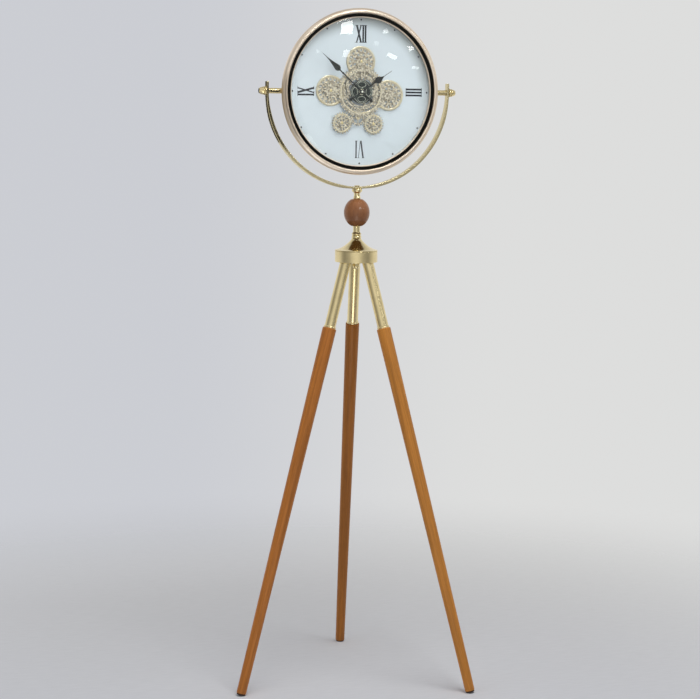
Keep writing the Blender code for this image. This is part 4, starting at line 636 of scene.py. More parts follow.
def drill(radius, low, high, quarter_turn, axis):
    """A cutter for a bore along X or Y."""
    rod = turned_solid(band(0, radius, low, high), 32)
    return moved(rod, Matrix.Rotation(quarter_turn * math.pi / 2, 4, axis))


def add_piece(name, mesh, place, paint, finish, body):
    """A piece that rides on its body and takes its finish from its slot."""
    obj = mesh_object(name, mesh, place, paint[finish])
    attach(obj, body)
    return obj


def dress(node_name, mesh, place, paint, finish, body):
    """A fine piece that stands for the CAD node of the same name."""
    obj = add_piece(node_name + "_fine", mesh, place, paint, finish, body)
    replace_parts(obj, node_name)


def repaint(material, *names):
    """Give carried-over CAD nodes a finished material."""
    for name in names:
        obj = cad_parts[name]
        if not obj.material_slots:
            obj.data.materials.append(material)
        for slot in obj.material_slots:
            slot.material = material


# Shader groups that several materials share

def feed(tree, sockets, values):
    """Link each named socket to an output, or set it to a plain value."""
    for key, value in values.items():
        if isinstance(value, bpy.types.NodeSocket):
            tree.links.new(value, sockets[key])
        else:
            sockets[key].default_value = value


def node(tree, kind, inputs=None, **values):
    made = tree.nodes.new("ShaderNode" + kind)
    for name, value in values.items():
        setattr(made, name, value)
    feed(tree, made.inputs, inputs or {})
    return made


def calculated(tree, operation, first, second):
    return node(tree, "Math", {0: first, 1: second}, operation=operation).outputs[0]


def times(tree, first, second):
    return calculated(tree, "MULTIPLY", first, second)


def plus(tree, first, second):
    return calculated(tree, "ADD", first, second)


def reach_of(tree, across, up):
    """Distance from an axis, from the two coordinates across it."""
    return calculated(tree, "POWER", plus(tree, times(tree, across, across), times(tree, up, up)), 0.5)


def mixed(tree, factor, first, second):
    return node(tree, "Mix", {0: factor, 6: first, 7: second}, data_type="RGBA").outputs[2]


def ranged(tree, value, low, high, to_low, to_high, smooth=False):
    limits = {"Value": value, "From Min": low, "From Max": high, "To Min": to_low, "To Max": to_high}
    kind = "SMOOTHSTEP" if smooth else "LINEAR"
    return node(tree, "MapRange", limits, interpolation_type=kind).outputs["Result"]


def eased_mask(tree, value, low, high):
    return ranged(tree, value, low, high, 0, 1, smooth=True)


def vector_math(tree, operation, inputs):
    return node(tree, "VectorMath", inputs, operation=operation).outputs


def noise(tree, place, density, stretch=(1, 1, 1), **values):
    """Noise of the given density, with each axis stretched by its own factor."""
    scaled = vector_math(tree, "SCALE", {0: place, "Scale": density})[0]
    spot = vector_math(tree, "MULTIPLY", {0: scaled, 1: stretch})[0]
    return node(tree, "TexNoise", {"Vector": spot, "Scale": 1.0, **values}).outputs["Fac"]


def object_place(tree):
    """Object coordinates, and each of them alone."""
    place = node(tree, "TexCoord").outputs["Object"]
    return place, node(tree, "SeparateXYZ", {0: place}).outputs


def new_group(name, inputs):
    """A group with the given inputs, which puts out a colour, a roughness and a height."""
    group = bpy.data.node_groups.new(name, "ShaderNodeTree")
    for label, default in inputs.items():
        kind = "NodeSocketColor" if isinstance(default, tuple) else "NodeSocketFloat"
        socket = group.interface.new_socket(name=label, in_out="INPUT", socket_type=kind)
        socket.default_value = default
    for label, kind in (("Colour", "Color"), ("Roughness", "Float"), ("Height", "Float")):
        group.interface.new_socket(name=label, in_out="OUTPUT", socket_type="NodeSocket" + kind)
    given = group.nodes.new("NodeGroupInput").outputs
    return group, given, group.nodes.new("NodeGroupOutput").inputs


def wood_grain_group():
    """Long fibres and soft growth bands that run along Z."""
    group, given, result = new_group("Wood Grain", {
        "Light Colour": (0.4, 0.2, 0.06, 1),
        "Dark Colour": (0.2, 0.1, 0.03, 1),
        "Fibre Density": 700.0,
        "Band Strength": 0.5,
        "Sheen Roughness": 0.4,
    })
    place = node(group, "TexCoord").outputs["Object"]
    density = given["Fibre Density"]
    fibres = noise(group, place, density, (1, 1, 0.022), Detail=4.0, Roughness=0.62)
    bands = noise(group, place, density, (0.16, 0.16, 0.007), Detail=2.0, Distortion=0.6)
    pores = noise(group, place, density, (2.4, 2.4, 0.11), Detail=1.0)
    fibre_mask = ranged(group, fibres, 0.34, 0.68, 0, 0.55)
    band_mask = times(group, eased_mask(group, bands, 0.36, 0.66), given["Band Strength"])
    pore_mask = ranged(group, pores, 0.62, 0.74, 0, 0.45)
    total = plus(group, plus(group, fibre_mask, band_mask), pore_mask)
    total = calculated(group, "MINIMUM", total, 1.0)
    feed(group, result, {
        "Colour": mixed(group, total, given["Light Colour"], given["Dark Colour"]),
        "Roughness": plus(group, given["Sheen Roughness"], times(group, fibre_mask, 0.14)),
        "Height": calculated(group, "SUBTRACT", 1.0, total),
    })
    return group


def turned_metal_group():
    """Fine turning lines round the Z axis, over soft clouds of handling."""
    group, given, result = new_group("Turned Metal", {
        "Colour": (0.8, 0.7, 0.4, 1),
        "Shade Colour": (0.5, 0.4, 0.2, 1),
        "Line Density": 2500.0,
        "Cloud Density": 40.0,
        "Shade Strength": 0.4,
        "Base Roughness": 0.2,
    })
    place, axes = object_place(group)
    density = given["Line Density"]
    radius = reach_of(group, axes[0], axes[1])
    spot = {0: times(group, radius, density), 1: times(group, axes[2], density)}
    lines_at = node(group, "CombineXYZ", spot).outputs[0]
    lines = node(group, "TexNoise", {"Vector": lines_at, "Scale": 1.0, "Detail": 2.0}).outputs["Fac"]
    clouds = noise(group, place, given["Cloud Density"], Detail=3.0)
    cloud_mask = times(group, eased_mask(group, clouds, 0.35, 0.70), given["Shade Strength"])
    line_mask = ranged(group, lines, 0.3, 0.7, 0, 0.12)
    rough = plus(group, given["Base Roughness"], times(group, cloud_mask, 0.10))
    total = plus(group, cloud_mask, line_mask)
    feed(group, result, {
        "Colour": mixed(group, total, given["Colour"], given["Shade Colour"]),
        "Roughness": plus(group, rough, times(group, line_mask, 0.35)),
        "Height": lines,
    })
    return group


def painted_rim_shadow(group, axes, given):
    """Painted shadow that a raised rim throws on a round plate, deepest at the upper right edge."""
    across, up = (calculated(group, "DIVIDE", axis, given["Rim Shadow Radius"]) for axis in axes[:2])
    near_edge = eased_mask(group, reach_of(group, across, up), 0.80, 1.0)
    toward = plus(group, times(group, across, 0.5), times(group, up, 0.87))
    mask = times(group, near_edge, eased_mask(group, toward, -0.1, 0.8))
    return times(group, mask, given["Rim Shadow Strength"])


def speckle_group():
    """Fine speckle and soft patches, for paint, lacquer, rubber and moulded plastic, and a painted rim shadow
    on the dial.
    """
    group, given, result = new_group("Fine Speckle", {
        "Colour": (0.5, 0.5, 0.5, 1),
        "Patch Colour": (0.4, 0.4, 0.4, 1),
        "Speckle Density": 3000.0,
        "Patch Density": 30.0,
        "Patch Strength": 0.3,
        "Base Roughness": 0.4,
        # Painted rim shadow: its colour, the plate's radius and its strength.
        "Rim Shadow Colour": (0.3, 0.3, 0.3, 1),
        "Rim Shadow Radius": 1.0,
        "Rim Shadow Strength": 0.0,
    })
    place, axes = object_place(group)
    speckle = noise(group, place, given["Speckle Density"], Detail=2.0)
    patches = noise(group, place, given["Patch Density"], Detail=3.0)
    mask = times(group, eased_mask(group, patches, 0.32, 0.70), given["Patch Strength"])
    tone = mixed(group, mask, given["Colour"], given["Patch Colour"])
    spread_of_gloss = ranged(group, speckle, 0.3, 0.7, -0.04, 0.08)
    feed(group, result, {
        # The painted rim shadow is mixed into the colour here.
        "Colour": mixed(group, painted_rim_shadow(group, axes, given), tone, given["Rim Shadow Colour"]),
        "Roughness": plus(group, given["Base Roughness"], spread_of_gloss),
        "Height": speckle,
    })
    return group


GROUP_MAKERS = {
    "Wood Grain": wood_grain_group,
    "Turned Metal": turned_metal_group,
    "Fine Speckle": speckle_group,
}


def shared_group(name):
    return bpy.data.node_groups.get(name) or GROUP_MAKERS[name]()


# Materials

def opaque(rgb, factor=1.0):
    return (rgb[0] * factor, rgb[1] * factor, rgb[2] * factor, 1.0)


def new_material(name):
    material = bpy.data.materials.new(name)
    material.use_nodes = True
    return material, material.node_tree, material.node_tree.nodes["Principled BSDF"]


def surface(name, group_name, inputs, metallic=0.0, coat=0.0, bump=0.2, bump_distance=0.00002, specular=0.5):
    """A material whose colour, roughness and relief come from one of the shared groups."""
    existing = bpy.data.materials.get(name)
    if existing:
        return existing
    material, tree, shader = new_material(name)
    group = node(tree, "Group", inputs, node_tree=shared_group(group_name)).outputs
    relief = node(tree, "Bump", {"Strength": bump, "Distance": bump_distance, "Height": group["Height"]})
    feed(tree, shader.inputs, {
        "Base Color": group["Colour"],
        "Roughness": group["Roughness"],
        "Normal": relief.outputs["Normal"],
        "Metallic": metallic,
        "Coat Weight": coat,
        "Coat Roughness": 0.12,
        "Specular IOR Level": specular,
    })
    return material


def metal(name, tone, shade, roughness, clouds, shade_strength, lines=2500.0, bump=0.15):
    given = {
        "Colour": opaque(tone),
        "Shade Colour": opaque(shade),
        "Line Density": lines,
        "Cloud Density": clouds,
        "Shade Strength": shade_strength,
        "Base Roughness": roughness,
    }
    return surface(name, "Turned Metal", given, metallic=1.0, bump=bump)


def speckled(
    name, tone, patch, roughness, patch_strength=0.3, density=3000.0, patches=30.0, edge=None, **others
):
    """Paint, lacquer, rubber or plastic, with a painted rim shadow of (tone, radius, strength) where it has
    one.
    """
    given = {
        "Colour": opaque(tone),
        "Patch Colour": opaque(patch),
        "Speckle Density": density,
        "Patch Density": patches,
        "Patch Strength": patch_strength,
        "Base Roughness": roughness,
    }
    # The painted rim shadow, used for the dial.
    if edge:
        given.update({"Rim Shadow Colour": opaque(edge[0]), "Rim Shadow Radius": edge[1], "Rim Shadow Strength": edge[2]})
    return surface(name, "Fine Speckle", given, **others)


def timber(name, tone, shade, density=700.0, bands=0.5, roughness=0.42, coat=0.05):
    given = {
        "Light Colour": opaque(tone),
        "Dark Colour": opaque(tone, shade),
        "Fibre Density": density,
        "Band Strength": bands,
        "Sheen Roughness": roughness,
    }
    return surface(name, "Wood Grain", given, coat=coat, bump=0.25, bump_distance=0.00006, specular=0.25)


def clear_glass():
    existing = bpy.data.materials.get("clear_glass")
    if existing:
        return existing
    material, tree, shader = new_material("clear_glass")
    given = {"Base Roughness": 0.0, "Speckle Density": 160.0}
    group = node(tree, "Group", given, node_tree=shared_group("Fine Speckle"))
    feed(tree, shader.inputs, {
        "Base Color": (0.975, 0.99, 0.985, 1),
        "Metallic": 0.0,
        "Transmission Weight": 1.0,
        "IOR": 1.45,
        "Roughness": ranged(tree, group.outputs["Height"], 0.45, 0.8, 0.0, 0.02),
    })
    passing = node(tree, "BsdfTransparent", {"Color": (0.95, 0.96, 0.96, 1)})
    shadow = node(tree, "LightPath").outputs["Is Shadow Ray"]
    blend = node(tree, "MixShader", {0: shadow, 1: shader.outputs[0], 2: passing.outputs[0]})
    feed(tree, tree.nodes["Material Output"].inputs, {"Surface": blend.outputs[0]})
    return material


def finishes(context):
    """The named materials, from the scene's colour settings."""
    tones = context.scene.clock_colours
    # Painted rim shadow on the dial: its tone, the dial's radius and how strong it is.
    edge = (tones.dial_rim_shadow, context.scene.clock_case.dial_radius, 0.75)

    def painted(name, tone, share, *values, **others):
        return speckled(name, tone, opaque(tone, share), *values, **others)

    return {
        "brass": metal("polished_brass", tones.brass, tones.brass_shade, 0.17, 30.0, 0.45),
        # The yoke's brass is darkened as painted shade for its darker reflections.
        "yoke": metal("shaded_yoke_brass", tones.yoke, tones.brass_shade, 0.20, 30.0, 0.45),
        "tube": metal("brass_tube", tones.brass, tones.brass_shade, 0.20, 45.0, 0.40),
        "rim": metal("champagne_rim", tones.rim, tones.rim_shade, 0.36, 14.0, 0.45, 1800.0),
        "shell": metal("champagne_shell", tones.rim, tones.rim_shade, 0.34, 10.0, 0.35, 900.0),
        "wheel": metal("gold_wheel", tones.wheel, tones.wheel_shade, 0.22, 240.0, 0.85, 3200.0, 0.3),
        "wheel_rim": metal("gold_wheel_rim", tones.wheel_rim, tones.brass_shade, 0.28, 60.0, 0.5),
        "gold_ring": metal("gold_ring", tones.wheel, tones.brass, 0.14, 60.0, 0.5),
        "silver": metal("bright_silver", tones.silver, tones.steel, 0.12, 120.0, 0.35),
        "mirror": metal("dark_mirror", tones.mirror, opaque(tones.mirror, 0.5), 0.07, 70.0, 0.7),
        "steel": metal("plain_steel", tones.steel, opaque(tones.steel, 0.6), 0.32, 90.0, 0.5),
        # One wood in three tones: painted light and shade for how each leg is lit.
        "wood_left": timber("oak_left_half_lit", tones.wood_left, tones.wood_shade),
        "wood_right": timber("oak_right_lit", tones.wood_right, tones.wood_shade),
        "wood_rear": timber("oak_rear_shaded", tones.wood_rear, tones.wood_shade),
        "ball": timber("ball_walnut", tones.ball, 0.70, 500.0, 0.4, 0.40, 0.30),
        "pad": painted("brown_rubber", tones.pad, 0.6, 0.75, density=1500.0),
        "lacquer": painted("black_lacquer", tones.lacquer, 2.0, 0.34, 0.4, specular=0.10),
        "dial": painted("dial_paint", tones.dial, 0.93, 0.42, 0.6, 2600.0, 9.0, edge, coat=0.1),
        "ink": painted("numeral_ink", tones.ink, 1.8, 0.50, 0.5, 1800.0, 90.0, specular=0.10),
        "ink_soft": speckled(
            "numeral_ink_soft", (0.050, 0.054, 0.066), (0.080, 0.085, 0.098), 0.50, 0.5, 1800.0, 90.0,
            specular=0.10,
        ),
        "hand": painted("hand_paint", tones.hands, 2.0, 0.40, 0.5, 2200.0, 60.0, specular=0.15),
        "plastic": speckled("moulded_plastic", tones.plastic, (0.050, 0.050, 0.052), 0.52, 0.6, 1400.0, 25.0),
        "cell": speckled(
            "cell_sleeve", (0.10, 0.11, 0.13), (0.16, 0.17, 0.19), 0.30, 0.5, 900.0, 60.0, coat=0.4
        ),
        "glass": clear_glass(),
    }


# Stand

class CLOCK_OT_hub(bpy.types.Operator):
    """Ring, flared cap, cap nut and core that carry the three legs"""

    bl_idname = "clock.hub"
    bl_label = "Hub"

    def execute(self, context):
        paint, sizes = settings(context, "stand")
        place = stand_frame(context)
        ring = band(sizes.ring_inner, sizes.ring_outer, sizes.ring_top, sizes.ring_bottom)
        mesh = turned_mesh(softened(ring, sizes.ring_edge, 4), 128)
        dress("hub_ring", mesh, place, paint, "brass", "base")

        low = sizes.ring_top + sizes.fit
        height = sizes.cap_top - low - sizes.cap_lip
        width = sizes.ring_outer - sizes.cap_neck
        shares = (
            (0.985, 0.02), (0.80, 0.09), (0.60, 0.22), (0.42, 0.38), (0.25, 0.58), (0.10, 0.79), (0.0, 1.0)
        )
        flare = [(sizes.cap_neck + out * width, low + sizes.cap_lip + up * height) for out, up in shares]
        bore = sizes.bolt_radius + sizes.fit
        lip = softened(
            [(bore, low), (sizes.ring_outer, low), (sizes.ring_outer, low + sizes.cap_lip), flare[0]],
            sizes.ring_edge, closed=False,
        )
        profile = lip + flowing(flare, 8)[1:] + [(bore, sizes.cap_top)]
        dress("hub_cap", turned_mesh(profile, 128), place, paint, "brass", "base")
        dress("cap_nut", self.cap_nut(sizes), place, paint, "brass", "base")
        repaint(paint["brass"], "hub_core")
        return {"FINISHED"}

    def cap_nut(self, sizes):
        bottom = sizes.nut_top - sizes.nut_height
        dome_radius = sizes.nut_radius * 0.8
        hex_bottom = bottom + sizes.nut_height * 0.58
        flat = sizes.nut_radius * math.cos(math.pi / 6)
        profile = [(0, bottom)]
        for step in range(1, 11):
            turn = math.pi / 2 * step / 10
            height = hex_bottom - (hex_bottom - bottom) * math.cos(turn)
            profile.append((dome_radius * math.sin(turn), height))
        bore = sizes.bolt_radius + sizes.fit
        bore_top = sizes.nut_top - NUT_BORE_DEPTH
        profile += [(flat, hex_bottom), (sizes.nut_radius, hex_bottom + 0.0014)]
        profile += [(sizes.nut_radius, sizes.nut_top), (bore, sizes.nut_top), (bore, bore_top), (0, bore_top)]
        sides = plate_mesh([circle(sizes.nut_radius, 6)], bottom - 0.002, sizes.nut_top + 0.002, 0.00005)
        return cut(turned_solid(profile, 48), sides, operation="INTERSECT")


class CLOCK_OT_stem(bpy.types.Operator):
    """Turned stem with the wooden ball, and the bolt through it"""

    bl_idname = "clock.stem"
    bl_label = "Stem and ball"

    def execute(self, context):
        paint, sizes = settings(context, "stand")
        place = stand_frame(context)
        bore = sizes.bolt_radius + sizes.fit
        lower = (
            (0.0104, 0.0), (0.0112, 0.05), (0.0113, 0.13), (0.0106, 0.21), (0.0095, 0.25), (0.0096, 0.28),
            (0.0108, 0.32), (0.0109, 0.38), (0.0099, 0.43), (0.0085, 0.48), (0.0080, 0.56), (0.0078, 0.72),
            (0.0080, 0.86), (0.0086, 0.93), (0.0096, 1.0),
        )
        upper = (
            (0.0077, 0.0), (0.0083, 0.06), (0.0084, 0.14), (0.0079, 0.22), (0.0074, 0.27), (0.0070, 0.32),
            (0.0069, 0.42), (0.0070, 0.52), (0.0078, 0.60), (0.0096, 0.68), (0.0112, 0.75), (0.0117, 0.84),
            (0.0117, 0.93), (0.0111, 1.0),
        )
        for name, shares, low, height in (
            ("stem_lower", lower, sizes.stem_low, sizes.stem_low_height),
            ("stem_upper", upper, sizes.stem_high, sizes.stem_high_height),
        ):
            outside = flowing([(radius, low + up * height) for radius, up in shares], 5)
            profile = [(bore, low)] + outside + [(bore, low + height)]
            dress(name, turned_mesh(profile, 72, smooth_angle=50), place, paint, "brass", "base")

        seat_angle = math.acos(sizes.ball_seat / sizes.ball_radius)
        half = sizes.ball_height / 2
        stretch = half / math.sin(seat_angle)
        middle = sizes.ball_low + half
        steps = 40
        turns = [-seat_angle + 2 * seat_angle * step / steps for step in range(steps + 1)]
        curve = [(sizes.ball_radius * math.cos(turn), middle + stretch * math.sin(turn)) for turn in turns]
        profile = [(bore, sizes.ball_low)] + curve + [(bore, sizes.ball_low + sizes.ball_height)]
        dress("stem_ball", turned_mesh(profile, smooth_angle=40), place, paint, "ball", "base")
        dress("tie_bolt", turned_solid(self.bolt(sizes), 48), place, paint, "brass", "base")
        return {"FINISHED"}

    def bolt(self, sizes):
        top = sizes.bolt_top
        low = top - sizes.bolt_head_height
        shaft_end = sizes.nut_top - BOLT_REACH
        profile = [(0, top)]
        for share in (0.35, 0.6, 0.8, 0.92):
            drop = sizes.bolt_head_height * 0.55 * share ** 3
            profile.append((sizes.bolt_head * share, top - drop))
        profile += [(sizes.bolt_head, low + sizes.bolt_head_height * 0.4), (sizes.bolt_head, low)]
        return profile + [(sizes.bolt_radius, low), (sizes.bolt_radius, shaft_end), (0, shaft_end)]


class CLOCK_OT_legs(bpy.types.Operator):
    """Brass tubes, tapered wood and pads of the three hinged legs"""

    bl_idname = "clock.legs"
    bl_label = "Legs"

    def execute(self, context):
        paint, sizes = settings(context, "stand")
        for side in SIDES:
            place = leg_frame(context, side)
            body = "leg_" + side
            dress(body + "_tube", turned_mesh(self.tube_profile(sizes), 64), place, paint, "tube", body)
            wood = turned_solid(self.wood_profile(sizes), 64)
            # Each leg's wood tone carries painted light and shade.
            dress(body + "_wood", wood, place, paint, "wood_" + side, body)
            dress(body + "_pad", self.pad_mesh(sizes, place), place, paint, "pad", body)
            repaint(paint["brass"], body + "_knuckle")
            repaint(paint["steel"], body + "_pin")
        return {"FINISHED"}

    def tube_profile(self, sizes):
        radius = sizes.tube_radius
        inner = radius - sizes.tube_wall
        end = -sizes.tube_end
        bead = sizes.bead_radius
        outside = [
            (inner, -sizes.tube_start),
            (radius - 0.0004, -sizes.tube_start),
            (radius, -sizes.tube_start - 0.0005),
            (radius, end + sizes.bead_height),
        ]
        swell = [
            (radius + 0.0002, end + sizes.bead_height * 0.94),
            (radius + 0.0009, end + sizes.bead_height * 0.80),
            (bead - 0.0002, end + sizes.bead_height * 0.60),
            (bead, end + sizes.bead_height * 0.42),
            (bead - 0.0001, end + sizes.bead_height * 0.22),
            (bead - 0.0006, end + sizes.fit),
        ]
        socket = [(radius, end + sizes.fit), (radius, end - sizes.socket), (inner, end - sizes.socket)]
        return outside + flowing(swell, 4) + socket

    def wood_profile(self, sizes):
        socket = sizes.tube_radius + sizes.fit
        top = -sizes.tube_end - sizes.fit
        bottom = -sizes.tube_end - sizes.socket - sizes.fit
        shoulder = [
            (sizes.wood_radius - 0.0024, top),
            (sizes.wood_radius - 0.0011, top - 0.0003),
            (sizes.wood_radius - 0.0003, top - 0.0011),
            (sizes.wood_radius, top - WOOD_SHOULDER),
        ]
        taper = []
        stations = 14
        for station in range(1, stations):
            share = station / stations
            width = sizes.wood_radius + (sizes.foot_radius - sizes.wood_radius) * share
            taper.append((width, top - WOOD_SHOULDER + (-sizes.wood_end - top + WOOD_SHOULDER) * share))
        foot = [
            (sizes.foot_radius, -sizes.wood_end + 0.0009),
            (sizes.foot_radius - 0.0003, -sizes.wood_end + 0.0002),
            (sizes.foot_radius - 0.0009, -sizes.wood_end),
        ]
        inside = [(0, bottom), (socket, bottom), (socket, top)]
        return inside + flowing(shoulder, 3) + taper + foot + [(0, -sizes.wood_end)]

    def pad_mesh(self, sizes, place):
        """A turned pad, cut level with the floor."""
        top, end = -sizes.wood_end - sizes.fit, -sizes.pad_end
        profile = [
            (0, top), (sizes.pad_radius, top), (sizes.pad_radius, end + PAD_EDGE),
            (sizes.pad_radius - PAD_EDGE, end), (0, end),
        ]
        shape = bmesh.new()
        shape.from_mesh(turned_solid(profile, 64))
        back = place.inverted()
        floor_point = back @ Vector((place.translation.x, place.translation.y, 0.00001))
        floor_normal = (back.to_3x3() @ Vector((0, 0, 1))).normalized()
        geometry = shape.verts[:] + shape.edges[:] + shape.faces[:]
        cut_result = bmesh.ops.bisect_plane(
            shape, geom=geometry, plane_co=floor_point, plane_no=floor_normal, clear_inner=True
        )
        rim = [part for part in cut_result["geom_cut"] if isinstance(part, bmesh.types.BMEdge)]
        bmesh.ops.edgeloop_fill(shape, edges=rim)
        return shaded(outward(shape), 32)


# Yoke and pivots

def eased(share):
    """Smooth step from 0 to 1."""
    share = max(0.0, min(1.0, share))
    return share * share * (3 - 2 * share)


class CLOCK_OT_yoke(bpy.types.Operator):
    """Bent flat bar that holds the case"""

    bl_idname = "clock.yoke"
    bl_label = "Yoke"

    def execute(self, context):
        paint, sizes, stand = settings(context, "case", "stand")
        thick, deep = sizes.yoke_thickness / 2, sizes.yoke_depth / 2
        radius, rise = sizes.yoke_radius, sizes.yoke_rise
        corners = [(thick, deep), (-thick, deep), (-thick, -deep), (thick, -deep)]
        section = softened(corners, sizes.yoke_edge, 4)
        half_round = (math.pi, 2 * math.pi, 150)
        stations = [((-radius, rise * (1 - step / 5)), (-1, 0)) for step in range(5)]
        stations += zip(arc(radius, *half_round), arc(1, *half_round))
        stations += [((radius, rise * (step + 1) / 5), (1, 0)) for step in range(5)]
        shape = bmesh.new()
        rings = []
        for (x, y), (out_x, out_y) in stations:
            below = math.degrees(math.atan2(-y, abs(x)))
            full = eased((below - 4) / 14) * eased((86 - below) / 8)
            swell = 1 + full * sizes.yoke_swell / thick
            spots = [(x + out_x * u * swell, y + out_y * u * swell, v) for u, v in section]
            rings.append(ring_of(shape, spots))
        for lower, upper in zip(rings, rings[1:]):
            bridged(shape, lower, upper)
        ends = [shape.faces.new(rings[0][::-1]), shape.faces.new(rings[-1])]
        bmesh.ops.recalc_face_normals(shape, faces=shape.faces)
        rim_edges = [edge for face in ends for edge in face.edges]
        bmesh.ops.bevel(shape, geom=rim_edges, offset=0.0006, segments=2, profile=0.6, affect="EDGES")
        reach = radius + 0.01
        across = drill(sizes.stud_radius + stand.fit, -reach, reach, 1, "Y")
        down = drill(stand.bolt_radius + stand.fit, -reach, -0.2, -1, "X")
        mesh = cut(mesh_of(shape), across, down)
        # The yoke takes the darkened brass, painted shade for its darker reflections.
        dress("yoke", mesh, face_frame(context), paint, "yoke", "yoke")
        return {"FINISHED"}


class CLOCK_OT_pivots(bpy.types.Operator):
    """Posts on the case and the clamping knobs outside the yoke"""

    bl_idname = "clock.pivots"
    bl_label = "Pivot posts and knobs"

    def execute(self, context):
        paint, sizes, stand = settings(context, "case", "stand")
        for side, sign in (("left", -1), ("right", 1)):
            place = face_frame(context) @ Matrix.Rotation(sign * math.pi / 2, 4, "Y")
            post = turned_solid(self.post_profile(sizes, stand.fit), 56)
            dress("pivot_post_" + side, post, place, paint, "brass", "case")
            knob = turned_solid(self.knob_profile(sizes), 64)
            dress("knob_" + side, knob, place, paint, "brass", "knob_" + side)
            repaint(paint["steel"], "pivot_nut_" + side)
        return {"FINISHED"}

    def post_profile(self, sizes, fit_gap):
        stub = sizes.post_radius - POST_STEP
        start, end = sizes.post_start, sizes.post_end
        bore = sizes.stud_radius + fit_gap
        bore_start = end - sizes.stud_length - fit_gap
        outside = softened(
            [
                (stub, start), (sizes.post_collar, start), (sizes.post_collar, start + 0.0030),
                (sizes.post_radius, start + 0.0034), (sizes.post_radius, end), (bore, end),
            ],
            0.0006, closed=False,
        )
        stub_start = start - 0.008
        return [(0, stub_start), (stub, stub_start)] + outside + [(bore, bore_start), (0, bore_start)]

    def knob_profile(self, sizes):
        start = sizes.knob_start
        end = start + sizes.knob_length
        wide = sizes.knob_radius
        outline = flowing(
            [
                (wide * 0.94, start + 0.0002), (wide, start + 0.0009), (wide, start + 0.0026),
                (wide * 0.93, start + 0.0036), (wide * 0.80, start + 0.0041), (wide * 0.80, start + 0.0048),
                (wide * 0.89, start + 0.0056), (wide * 0.90, start + 0.0066), (wide * 0.84, start + 0.0090),
                (wide * 0.72, start + 0.0125), (sizes.knob_end, end - 0.0016),
                (sizes.knob_end * 0.90, end - 0.0006), (sizes.knob_end * 0.6, end - 0.0001),
            ],
            4,
        )
        stud = sizes.post_end - sizes.stud_length
        inside = [(0, stud), (sizes.stud_radius, stud), (sizes.stud_radius, start), (wide * 0.9, start)]
        return inside + outline + [(0, end)]


# Case

def glass_height(sizes, radius):
    """Distance forward to the face of the domed glass: nearly flat, then down over a round shoulder."""
    edge = sizes.dial_front + sizes.glass_lift + sizes.glass_thickness
    share = min(1.0, radius / (sizes.dial_radius - sizes.glass_seat))
    return sizes.glass_front - (sizes.glass_front - edge) * share ** 6


def quarter(radius, height, size, steps=8):
    """A rounded corner that leaves a wall of the given radius and turns in to the given height."""
    turns = [math.pi / 2 * step / steps for step in range(steps + 1)]
    return [(radius - size * (1 - math.cos(turn)), height + size * (1 - math.sin(turn))) for turn in turns]


